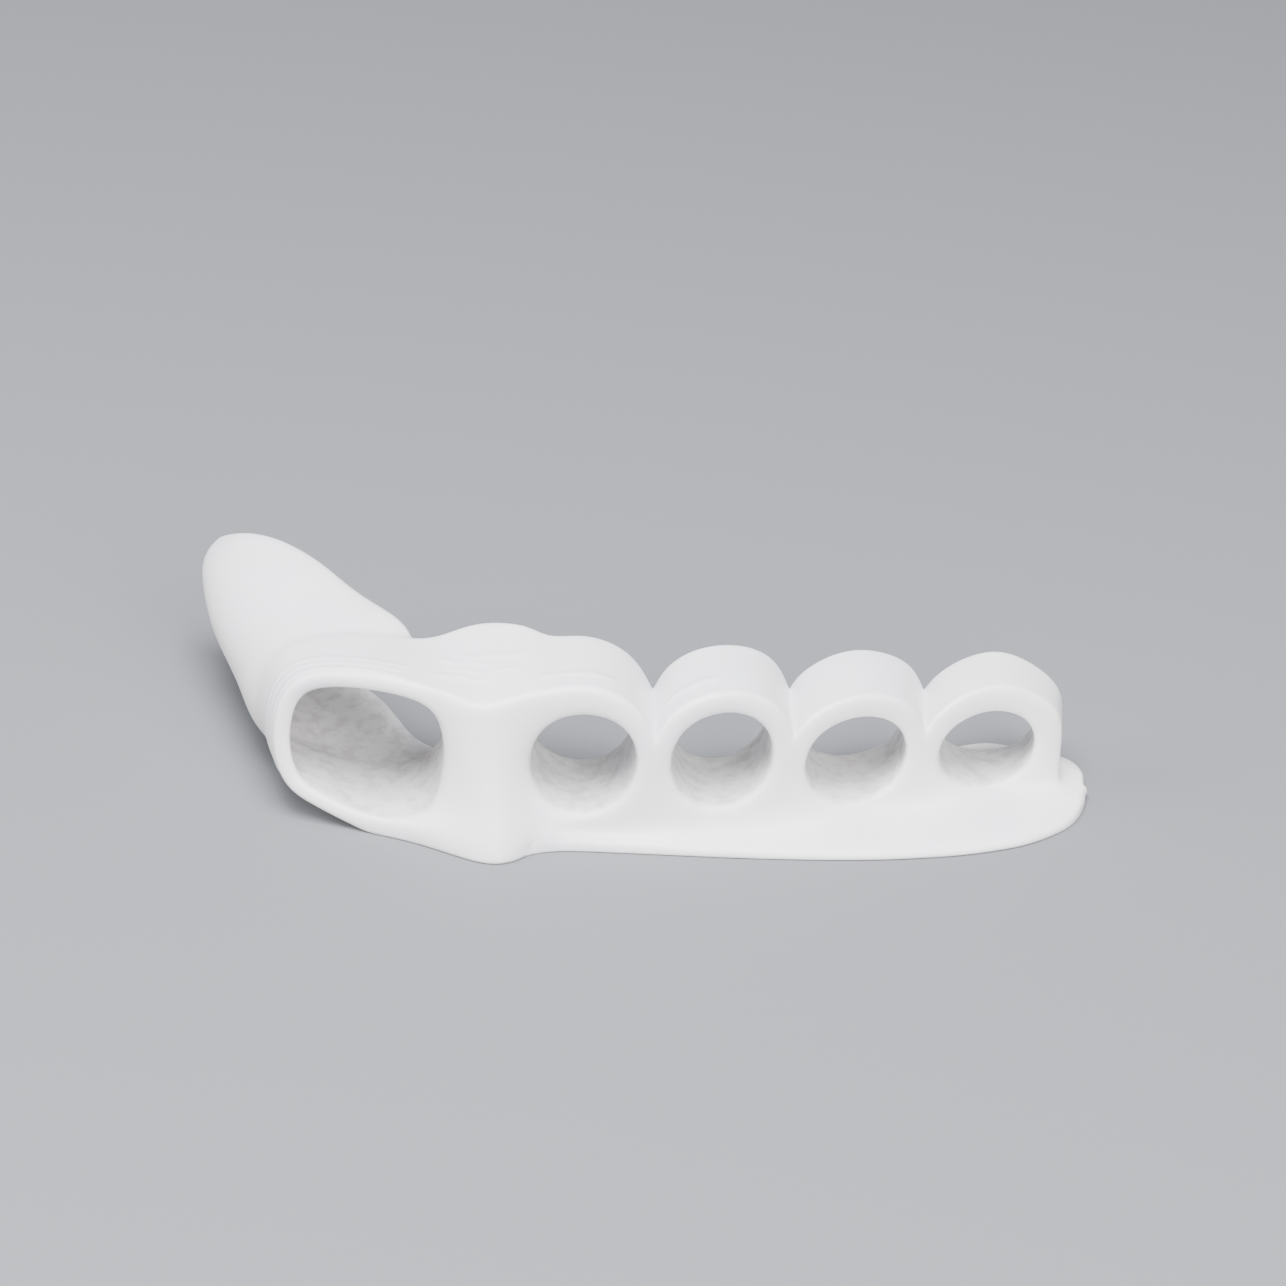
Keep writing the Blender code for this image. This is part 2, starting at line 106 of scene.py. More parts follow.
@dataclass(frozen=True)
class Oval:
    """A superellipse: 2 is an ellipse, and more is squarer."""

    half_width: float
    half_height: float
    squareness: float = 2.0

    def at(self, degrees: float) -> tuple[float, float]:
        """Gives the point of the oval at an angle from its right end.

        Args:
            degrees: The angle, counted from the right over the top.

        Returns:
            The point's distance to the right and upwards from the centre.
        """
        c = math.cos(math.radians(degrees))
        s = math.sin(math.radians(degrees))
        power = 2 / self.squareness
        return (
            self.half_width * math.copysign(abs(c) ** power, c),
            self.half_height * math.copysign(abs(s) ** power, s),
        )

    def grown(self, wall: float, squareness: float | None = None) -> "Oval":
        """Gives the oval with a wall added round it."""
        return Oval(self.half_width + wall, self.half_height + wall, squareness or self.squareness)

    def cage(self) -> "Oval":
        """Gives the larger oval whose subdivided ring is this one."""
        return Oval(self.half_width / DRAW_IN, self.half_height / DRAW_IN, self.squareness)


class Cage:
    """Points by name and station, and the prisms between them, whose outside is the moulding."""

    def __init__(self) -> None:
        """Starts with no points."""
        self.points: dict[Corner, Point] = {}
        self.prisms: list[tuple[tuple[str, ...], int]] = []
        self.creases: list[tuple[Corner, Corner]] = []
        self.inner: set[Corner] = set()

    def column(self, name: str, x: float, z: float, ys: list[float], first: int) -> None:
        """Adds one point for each Y, all at the same x and z.

        Args:
            name: The name of the row of points.
            x: Their x.
            z: Their z.
            ys: Their y, one for each station.
            first: The station of the first of them.
        """
        for station, y in enumerate(ys, first):
            self.points[name, station] = (x, y, z)

    def prism(self, corners: list[str], first: int, last: int) -> None:
        """Adds the prisms with these corners between two stations."""
        for station in range(first, last):
            self.prisms.append((tuple(corners), station))

    def skin(self) -> list[list[Corner]]:
        """Gives the outside of the prisms.

        Returns:
            The faces that belong to only one prism.
        """
        found: dict[frozenset[Corner], list[Corner]] = {}
        seen: Counter[frozenset[Corner]] = Counter()
        for corners, station in self.prisms:
            faces = [[(c, station) for c in corners], [(c, station + 1) for c in corners]]
            for a, b in zip(corners, corners[1:] + corners[:1]):
                faces.append([(a, station), (b, station), (b, station + 1), (a, station + 1)])
            for face in faces:
                key = frozenset(face)
                seen[key] += 1
                found[key] = face
        return [face for key, face in found.items() if seen[key] == 1]

    def mesh(self, name: str, shift: Vector, crease: float) -> bpy.types.Mesh:
        """Makes the skin as a mesh with its faces pointing out.

        Args:
            name: The mesh's name.
            shift: What is added to every point.
            crease: The sharpness of the marked edges, from 0 to 1.

        Returns:
            The mesh, with its sharp edges and its bore points marked.
        """
        bm = bmesh.new()
        bore = bm.verts.layers.float.new(BORE)
        sharp = bm.edges.layers.float.new(CREASE)
        verts: dict[Corner, bmesh.types.BMVert] = {}
        skin = self.skin()
        for face in skin:
            for corner in face:
                if corner not in verts:
                    verts[corner] = bm.verts.new(Vector(self.points[corner]) + shift)
                    verts[corner][bore] = 1.0 if corner in self.inner else 0.0
        for face in skin:
            bm.faces.new([verts[corner] for corner in face])
        bmesh.ops.recalc_face_normals(bm, faces=bm.faces)
        for a, b in self.creases:
            bm.edges.get((verts[a], verts[b]))[sharp] = crease
        for edge in bm.edges:
            flat = [all(v.co.z < FLOOR_GAP for v in face.verts) for face in edge.link_faces]
            if any(flat) and not all(flat):
                edge[sharp] = FLOOR_CREASE
        mesh = bpy.data.meshes.new(name)
        bm.to_mesh(mesh)
        bm.free()
        return mesh


@dataclass(frozen=True)
class ToeLoop:
    """The loop of one small toe, open from front to back."""

    name: str
    width: float
    height: float
    floor: float
    depth: float
    crown: float
    x: float = 0.0

    @property
    def bore(self) -> Oval:
        """The opening."""
        return Oval(self.width / 2, self.height / 2, 2.1)

    @property
    def z(self) -> float:
        """The height of the opening's centre."""
        return self.floor + self.height / 2

    def placed(self, x: float) -> "ToeLoop":
        """Gives the same loop with its centre at another x."""
        return ToeLoop(
            self.name, self.width, self.height, self.floor, self.depth, self.crown, x
        )


@dataclass
class LoopRow:
    """Where the four small loops stand, and the line of their front and back faces."""

    bore_width: float = 0.0141
    bore_height: float = 0.0150
    bore_floor: float = 0.0049
    depth: float = 0.0160
    crown_wall: float = 0.0027
    web_wall: float = 0.0048
    end_wall: float = 0.0041
    sweep: float = 0.0180
    sweep_power: float = 1.6
    end_slope: float = 0.30
    end_depth_share: float = 0.72
    big_sweep: float = 0.0045
    big_run: float = 0.0205
    big_back: float = 0.0172
    spreader_width: float = 0.0116
    rim_row: float = 0.0011

    RING_SHARES = (0, 0.25, 0.5, 0.75, 1)

    def __post_init__(self) -> None:
        """Places the loops side by side, with the third at x = 0."""
        shares = (
            ("second", 1.00, 0.95, 1.04, 1.08, 1.55),
            ("third", 0.96, 0.92, 1.08, 1.00, 1.17),
            ("fourth", 0.98, 0.83, 0.78, 0.98, 1.27),
            ("little", 0.95, 0.74, 0.62, 0.78, 1.42),
        )
        loops: list[ToeLoop] = []
        left = 0.0
        for name, width, height, floor, depth, crown in shares:
            loop = ToeLoop(
                name,
                self.bore_width * width,
                self.bore_height * height,
                self.bore_floor * floor,
                self.depth * depth,
                self.crown_wall * crown,
            )
            loops.append(loop.placed(left + loop.width / 2))
            left += loop.width + self.web_wall
        middle = loops[1].x
        self.loops = [loop.placed(loop.x - middle) for loop in loops]
        self.second, self.third, self.fourth, self.little = self.loops
        self.spreader_right = self.second.x - self.second.width / 2
        self.spreader_left = self.spreader_right - self.spreader_width
        self.end_x = self.little.x + self.little.width / 2 + self.end_wall

    def front(self, x: float) -> float:
        """Gives the y of the loops' front faces at x."""
        start, end = self.second.x, self.little.x
        if x > end:
            return self.sweep + self.end_slope * (x - end)
        if x >= start:
            return self.sweep * ((x - start) / (end - start)) ** self.sweep_power
        share = min(1.0, max(0.0, (self.spreader_left - x) / self.big_run))
        return self.big_sweep * share**1.5

    def back(self, x: float) -> float:
        """Gives the y of the loops' back faces at x."""
        if x <= self.spreader_right:
            return self.big_back
        stops = [(loop.x, loop.depth) for loop in self.loops]
        stops.append((self.end_x, self.little.depth * self.end_depth_share))
        depth = stops[0][1]
        for (x0, depth0), (x1, depth1) in zip(stops, stops[1:]):
            if x > x0:
                depth = depth0 + (depth1 - depth0) * min(1.0, (x - x0) / (x1 - x0))
        return self.front(x) + depth

    def ring_ys(self, x: float) -> list[float]:
        """Gives the stations from the loops' front to their back.

        Args:
            x: Where the row of points stands.

        Returns:
            The y of each station.
        """
        front, back = self.front(x) + self.rim_row, self.back(x) - self.rim_row
        inner = [front + (back - front) * share for share in self.RING_SHARES]
        return [self.front(x), *inner, self.back(x)]


@dataclass
class Sole:
    """The thin plate under the loops, with a shelf in front of them and a rounded tip."""

    row: LoopRow
    thickness: float = 0.0021
    edge_thickness: float = 0.0012
    sweep: float = 0.0250
    squareness: float = 2.6
    heel: float = 0.0024
    little_heel: float = 0.0034
    tip_reach: float = 0.0040
    nose: float = 0.0082
    foot_run_right: float = 0.0120
    foot_run_left: float = 0.0165
    foot: float = 0.0028
    foot_rise: float = 0.0005

    LEAST_EDGE = 0.15
    SHELF_ROW_SHARE = 0.35
    HEEL_ROW_SHARE = 0.6
    TAB_SHARES = (0, 0.08, 0.2, 0.3, 0.4, 0.45, 0.5, 0.55, 0.6, 0.7, 0.92, 1)
    TIP_ROWS = {1: 0.62, 2: 0.95}

    def __post_init__(self) -> None:
        """Works out where the tip, the shelf's start and the nose's foot are."""
        row = self.row
        self.tip_x = row.end_x + self.tip_reach
        self.start_x = row.third.x - row.third.width / 4
        self.nose_x = (row.spreader_left + row.spreader_right) / 2 + row.spreader_width * 0.1

    def bulge(self, x: float) -> float:
        """Gives how far the foot of the spreader's nose pushes the sole forward, at x."""
        run = self.foot_run_left if x < self.nose_x else self.foot_run_right
        return self.nose * max(0.0, 1 - abs(x - self.nose_x) / run) ** 2

    def heel_reach(self, x: float) -> float:
        """Gives how far the sole reaches behind the loops, at x."""
        row = self.row
        share = max(0.0, 1 - abs(x - row.little.x) / (row.end_x - row.little.x))
        return self.heel + self.little_heel * share**0.8

    def front(self, x: float) -> float:
        """Gives the y of the front edge at x."""
        row = self.row
        if x <= self.start_x:
            run = (x - row.spreader_right) / (row.second.x - row.spreader_right)
            return -row.rim_row * min(1.0, max(self.LEAST_EDGE, run))
        share = min(1.0, (x - self.start_x) / (self.tip_x - self.start_x))
        arc = (1 - share**self.squareness) ** (1 / self.squareness)
        return self.sweep * (1 - arc) - row.rim_row

    def back(self, x: float) -> float:
        """Gives the y of the back edge at x."""
        row = self.row
        back = row.back(min(x, row.end_x)) + self.heel_reach(min(x, row.end_x))
        if x <= row.end_x:
            return back
        tip = self.front(self.tip_x)
        share = min(1.0, (x - row.end_x) / (self.tip_x - row.end_x))
        return tip + (back - tip) * math.sqrt(1 - share * share)

    def ys(self, x: float) -> list[float]:
        """Gives the stations under the loops.

        Args:
            x: Where the row of points stands.

        Returns:
            The y of each station, from the front edge of the sole to its back edge.
        """
        row = self.row
        front, back, reach = row.front(x), row.back(x), self.heel_reach(x)
        edge = min(self.front(x), front - row.rim_row * self.LEAST_EDGE)
        width = front - edge
        foot = front - min(self.foot_reach(x), width / 2)
        shelf = [edge, edge + width * self.SHELF_ROW_SHARE, foot]
        heel = [back + reach * self.HEEL_ROW_SHARE, back + reach]
        ys = shelf + row.ring_ys(x) + heel
        bulge = self.bulge(x)
        for station, share in enumerate(BULGE_SHARES):
            ys[station] -= bulge * share
        return ys

    def foot_reach(self, x: float) -> float:
        """Gives how far the foot of the loops' front faces reaches onto the shelf, at x."""
        share = (x - self.row.third.x) / (self.row.fourth.x - self.row.third.x)
        return self.foot * (1 + min(1.0, max(0.0, share))) / 2

    def tab_ys(self, x: float) -> list[float]:
        """Gives the y of every station beyond the end wall, at x."""
        front, back = self.front(x), self.back(x)
        return [front + (back - front) * share for share in self.TAB_SHARES]

    def column(self, cage: Cage, name: str, x: float, ys: list[float]) -> None:
        """Adds the rows of points at the sole's underside and at its top.

        Args:
            cage: The cage that takes the points.
            name: The name of the pair of rows.
            x: Their x.
            ys: Their y, one for each station.
        """
        ends = (Station.SOLE_FRONT, Station.SOLE_BACK)
        rows = (Station.SOLE_FRONT_ROW, Station.SOLE_BACK_ROW)
        for station, y in enumerate(ys):
            thickness = self.thickness
            if station in ends:
                thickness = self.edge_thickness
            elif station in rows:
                thickness = (self.thickness + self.edge_thickness) / 2
            cage.points[f"{name}.under", station] = (x, y, 0.0)
            cage.points[f"{name}.over", station] = (x, y, thickness)

    def plate(self, cage: Cage, left: str, right: str) -> None:
        """Adds the plate between two columns."""
        corners = [f"{left}.under", f"{right}.under", f"{right}.over", f"{left}.over"]
        cage.prism(corners, Station.SOLE_FRONT, Station.SOLE_BACK)

    def add_tip(self, cage: Cage) -> None:
        """Adds the rounded tip beside the little toe's loop."""
        row = self.row
        self.column(cage, "tip0", row.end_x, self.ys(row.end_x))
        for index, share in self.TIP_ROWS.items():
            x = row.end_x + self.tip_reach * share
            self.column(cage, f"tip{index}", x, self.tab_ys(x))
        columns = (f"{row.little.name}.foot11", "tip0", "tip1", "tip2")
        for left, right in zip(columns, columns[1:]):
            self.plate(cage, left, right)


@dataclass
class SmallLoops:
    """The loops of the four small toes and the webs between them."""

    row: LoopRow
    sole: Sole
    crown_spread: float = 0.70
    mouth_flare: float = 0.0004
    valley_rise: float = 0.24
    valley_setback: float = 0.0003
    second_crown_shift: float = -0.05
    lean: float = 0.10

    CROWN_ANGLES = {1: 42, 2: 65, 3: 90, 4: 115, 5: 138}
    VALLEY_SHIFTS = {"second": 0.0, "third": 0.035, "fourth": 0.01}
    WEB_RISES = {"web1": 0.11, "web0": -0.02}
    # The end wall's rows: step round the loop, angle in degrees and distance inside the wall
    END_ROWS = ((1, 33, 0.0006), (0, 2, 0.0), (11, -32, 0.0))
    FOOT_FLARE = 0.6
    MOUTH_FLARES = {Station.LOOP_FRONT: 1.0, Station.LOOP_BACK: 0.5}
    FIRST_FOOT = 7
    LAST_FOOT = 11

    def add(self, cage: Cage) -> None:
        """Adds the loops, the webs and the end wall."""
        for loop in self.row.loops:
            self.add_loop(cage, loop)
        for left, right in zip(self.row.loops, self.row.loops[1:]):
            self.add_web(cage, left, right)
        self.add_end_wall(cage)

    def ring(self, cage: Cage, name: str, x: float, loop: ToeLoop, oval: Oval, angle: float) -> None:
        """Adds one row of points at an angle round a loop.

        Args:
            cage: The cage that takes the points.
            name: The row's name.
            x: The middle of the oval.
            loop: The loop.
            oval: The oval that the row lies on.
            angle: The angle in degrees, counted from the right over the top.
        """
        dx, dz = oval.cage().at(angle)
        cage.column(name, x + dx, loop.z + dz, self.row.ring_ys(x + dx), Station.LOOP_FRONT)

    def add_loop(self, cage: Cage, loop: ToeLoop) -> None:
        """Adds a loop, from its bore to its foot and its crown."""
        self.add_bore(cage, loop)
        self.add_foot(cage, loop)
        self.add_crown(cage, loop)

    def add_bore(self, cage: Cage, loop: ToeLoop) -> None:
        """Adds the points round a loop's bore."""
        for index in range(RING):
            name = f"{loop.name}.bore{index}"
            self.ring(cage, name, loop.x, loop, loop.bore, math.degrees(index * RING_STEP))
            self.flare(cage, loop, index)
            for station in range(Station.FRONT_ROW, Station.LOOP_BACK):
                cage.inner.add((name, station))

    def add_foot(self, cage: Cage, loop: ToeLoop) -> None:
        """Adds the sole under a loop and the wall from there to the bore's floor."""
        name = loop.name
        for index in range(self.FIRST_FOOT, self.LAST_FOOT + 1):
            middle = cage.points[f"{name}.bore{index}", Station.MIDDLE][0]
            self.sole.column(cage, f"{name}.foot{index}", middle, self.sole.ys(middle))
            corner = (f"{name}.foot{index}.over", Station.LOOP_FRONT)
            x, y, z = cage.points[corner]
            cage.points[corner] = (x, y, z + self.sole.foot_rise)
        for index in range(self.FIRST_FOOT, self.LAST_FOOT):
            foot, after = f"{name}.foot{index}", f"{name}.foot{index + 1}"
            if loop is not self.row.second:
                ends = (f"{foot}.over", Station.SHELF_ROW), (f"{after}.over", Station.SHELF_ROW)
                cage.creases.append(ends)
            self.sole.plate(cage, foot, after)
            corners = [
                f"{foot}.over",
                f"{after}.over",
                f"{name}.bore{index + 1}",
                f"{name}.bore{index}",
            ]
            cage.prism(corners, Station.LOOP_FRONT, Station.LOOP_BACK)

    def add_crown(self, cage: Cage, loop: ToeLoop) -> None:
        """Adds the wall over a loop's bore."""
        name, x = loop.name, loop.x
        if loop is self.row.second:
            x += self.second_crown_shift * self.row.bore_width
        half_width = loop.width / 2 + self.row.web_wall * self.crown_spread
        outside = Oval(half_width, loop.height / 2 + loop.crown)
        for index, angle in self.CROWN_ANGLES.items():
            self.ring(cage, f"{name}.crown{index}", x, loop, outside, angle)
        for index in (2, 3):
            corners = [
                f"{name}.bore{index}",
                f"{name}.bore{index + 1}",
                f"{name}.crown{index + 1}",
                f"{name}.crown{index}",
            ]
            cage.prism(corners, Station.LOOP_FRONT, Station.LOOP_BACK)

    def flare(self, cage: Cage, loop: ToeLoop, index: int) -> None:
        """Opens the mouths of a bore a little, most at the foot.

        Args:
            cage: The cage with the bore's points.
            loop: The loop.
            index: The step round the bore.
        """
        angle = index * RING_STEP
        foot = 1.0 - self.FOOT_FLARE * math.sin(angle)
        for station, share in self.MOUTH_FLARES.items():
            x, y, z = cage.points[f"{loop.name}.bore{index}", station]
            grow = self.mouth_flare * foot * share
            spot = (x + grow * math.cos(angle), y, z + grow * math.sin(angle))
            cage.points[f"{loop.name}.bore{index}", station] = spot

    def add_web(self, cage: Cage, left: ToeLoop, right: ToeLoop) -> None:
        """Adds the wall between two loops, with the valley over it.

        Args:
            cage: The cage that takes the wall.
            left: The loop on its left.
            right: The loop on its right.
        """
        a, b = left.name, right.name
        valley = f"{a}.valley"
        web1, web0 = f"{a}.web1", f"{a}.web0"
        x = (left.x + left.width / 2 + right.x - right.width / 2) / 2
        x += self.VALLEY_SHIFTS[a] * self.row.bore_width
        z = (left.z + right.z) / 2
        height = self.row.bore_height
        ys = self.row.ring_ys(x)
        for web, rise in self.WEB_RISES.items():
            cage.column(f"{a}.{web}", x, z + rise * height, ys, Station.LOOP_FRONT)
        ys[0] += self.valley_setback
        ys[-1] -= self.valley_setback
        cage.column(valley, x, z + self.valley_rise * height, ys, Station.LOOP_FRONT)
        for station in range(Station.LOOP_FRONT, Station.LOOP_BACK):
            cage.creases.append(((valley, station), (valley, station + 1)))
        for station in (Station.LOOP_FRONT, Station.LOOP_BACK):
            cage.creases.append(((valley, station), (web1, station)))
        polygons = (
            [f"{a}.bore2", f"{a}.crown2", f"{a}.crown1", f"{a}.bore1"],
            [f"{b}.bore5", f"{b}.crown5", f"{b}.crown4", f"{b}.bore4"],
            [f"{a}.bore1", f"{a}.crown1", valley, web1],
            [web1, valley, f"{b}.crown5", f"{b}.bore5"],
            [f"{a}.bore0", f"{a}.bore1", web1, web0],
            [web0, web1, f"{b}.bore5", f"{b}.bore6"],
            [f"{a}.bore11", f"{a}.bore0", web0, f"{b}.bore6", f"{b}.bore7"],
            [f"{a}.foot11.over", f"{a}.bore11", f"{b}.bore7", f"{b}.foot7.over"],
        )
        for polygon in polygons:
            cage.prism(polygon, Station.LOOP_FRONT, Station.LOOP_BACK)
        self.sole.plate(cage, f"{a}.foot11", f"{b}.foot7")

    def add_end_wall(self, cage: Cage) -> None:
        """Adds the outer wall of the little toe's loop."""
        row, loop = self.row, self.row.little
        name = loop.name
        reach = loop.height / 2 + loop.crown
        for index, angle, inset in self.END_ROWS:
            z = loop.z + reach * math.sin(math.radians(angle))
            ys = row.ring_ys(row.end_x - inset)
            cage.column(f"{name}.end{index}", row.end_x - inset, z, ys, Station.LOOP_FRONT)
        self.sole.add_tip(cage)
        polygons = (
            [f"{name}.bore1", f"{name}.bore2", f"{name}.crown2", f"{name}.end1"],
            [f"{name}.bore0", f"{name}.bore1", f"{name}.end1", f"{name}.end0"],
            [f"{name}.bore11", f"{name}.bore0", f"{name}.end0", f"{name}.end11"],
            [f"{name}.foot11.over", f"{name}.bore11", f"{name}.end11", "tip0.over"],
        )
        for polygon in polygons:
            cage.prism(polygon, Station.LOOP_FRONT, Station.LOOP_BACK)

    def lean_out(self, cage: Cage) -> None:
        """Turns the little toe's loop outward, more and more from the fourth loop on."""
        row = self.row
        for key, (x, y, z) in cage.points.items():
            if x > row.fourth.x:
                share = min(1.0, (x - row.fourth.x) / (row.little.x - row.fourth.x))
                run = max(0.0, y - row.front(x))
                cage.points[key] = (x + self.lean * share * run, y, z)


@dataclass(frozen=True)
class ShieldSection:
    """One section of the big toe's loop or of the shield behind it.

    Reach is a share of the shield's length, and the other lengths are shares of the big bore's
    width and height. The angles are those of the wall's lower and upper edge.
    """

    reach: float
    out: float
    half_width: float
    up: float
    half_height: float
    low: float
    high: float
    square: float
    wall: float


@dataclass
class BigLoop:
    """The big toe's loop, which runs back without a break into the bunion shield."""

    row: LoopRow
    sole: Sole
    bore_width: float = 0.0205
    bore_height: float = 0.0174
    wall: float = 0.0024
    length: float = 0.0540
    skin_squareness: float = 0.92

    LOWER_CORNER = {7: 0.935, 8: 0.82}
    # Steps round the loop: its upper edge, its lower edge, and the first one on the floor
    UPPER_EDGE = 2
    LOWER_EDGE = 10
    FLOOR_STEP = 9
    BULGE_RUN = 4

    def sections(self) -> list[ShieldSection]:
        """Gives the sections, one for each station from the loop's front to the shield's end."""
        ring = [
            ShieldSection(0.00, 0.50, 0.50, 0.53, 0.53, 300, 60, 3.2, 1.00),
            ShieldSection(0.02, 0.50, 0.50, 0.53, 0.53, 300, 60, 3.2, 1.00),
            ShieldSection(0.085, 0.515, 0.5175, 0.525, 0.525, 300, 60, 3.1, 1.00),
            ShieldSection(0.15, 0.53, 0.535, 0.52, 0.52, 300, 60, 3.0, 1.00),
            ShieldSection(0.215, 0.545, 0.5525, 0.515, 0.515, 300, 60, 2.9, 1.00),
            ShieldSection(0.28, 0.56, 0.57, 0.51, 0.51, 300, 60, 2.8, 1.00),
            ShieldSection(0.31, 0.57, 0.59, 0.50, 0.50, 300, 61, 2.6, 1.00),
        ]
        shield = [
            ShieldSection(0.37, 0.57, 0.64, 0.52, 0.50, 303, 64, 2.4, 1.00),
            ShieldSection(0.43, 0.58, 0.67, 0.54, 0.50, 304, 70, 2.3, 1.00),
            ShieldSection(0.53, 0.70, 0.62, 0.58, 0.46, 305, 79, 2.2, 1.05),
            ShieldSection(0.66, 0.86, 0.56, 0.62, 0.43, 303, 82, 2.1, 1.15),
            ShieldSection(0.79, 0.97, 0.53, 0.66, 0.41, 275, 94, 2.0, 1.15),
            ShieldSection(0.90, 1.06, 0.49, 0.72, 0.38, 236, 118, 2.0, 1.00),
            ShieldSection(1.00, 1.11, 0.46, 0.74, 0.34, 205, 150, 2.0, 0.80),
        ]
        return ring + shield

    def add(self, cage: Cage) -> None:
        """Adds the ring round the big toe and the shield."""
        sections = self.sections()
        for station, section in enumerate(sections, Station.LOOP_FRONT):
            for index in range(-1, self.LOWER_EDGE + 1):
                if station <= Station.LOOP_BACK or index >= self.UPPER_EDGE:
                    self.add_points(cage, section, station, index)
        last = Station.LOOP_FRONT + len(sections) - 1
        for index in range(self.UPPER_EDGE, self.LOWER_EDGE):
            corners = [
                f"big.bore{index}",
                f"big.bore{index + 1}",
                f"big.skin{index + 1}",
                f"big.skin{index}",
            ]
            cage.prism(corners, Station.LOOP_FRONT, last)

    def add_points(self, cage: Cage, section: ShieldSection, station: int, index: int) -> None:
        """Adds the inner point of a section at a step round it, and the outer one over it.

        Args:
            cage: The cage that takes the points.
            section: The section.
            station: The section's station.
            index: The step, from 2 at the upper edge to 10 at the lower edge.
        """
        closed = station <= Station.LOOP_BACK
        middle_x = self.row.spreader_left - self.bore_width * section.out
        middle_z = self.wall + self.bore_height * section.up
        oval = Oval(
            self.bore_width * section.half_width,
            self.bore_height * section.half_height,
            section.square,
        ).cage()
        draw = self.LOWER_CORNER.get(index, 1.0) if closed else 1.0
        run = (self.LOWER_EDGE - index) / (self.LOWER_EDGE - self.UPPER_EDGE)
        angle = section.low + (section.high - section.low) * run
        dx, dz = oval.at(angle)
        x = middle_x + dx * draw
        y = self.length * section.reach
        if closed:
            y = self.row.ring_ys(x)[station - Station.LOOP_FRONT]
            if index >= self.FLOOR_STEP:
                inner = max(0, station - Station.FRONT_ROW)
                y -= self.sole.bulge(x) * max(0.0, 1 - inner / self.BULGE_RUN)
        name = f"big.bore{index % RING}"
        cage.points[name, station] = (x, y, middle_z + dz * draw)
        if station > Station.LOOP_FRONT:
            cage.inner.add((name, station))
        if index < self.UPPER_EDGE:
            return
        skin = oval.grown(self.wall * section.wall, section.square * self.skin_squareness)
        dx, dz = skin.at(angle)
        z = max(0.0, middle_z + dz * draw)
        if index >= self.FLOOR_STEP and station <= Station.SOLE_BACK:
            z = 0.0
        cage.points[f"big.skin{index}", station] = (middle_x + dx * draw, y, z)


@dataclass(frozen=True)
class SpreaderPost:
    """One row of points of the spreader, as shares of its width, height, bulges and rise."""

    name: str
    side: float
    height: float
    nose: float
    tail: float
    front: float
    back: float


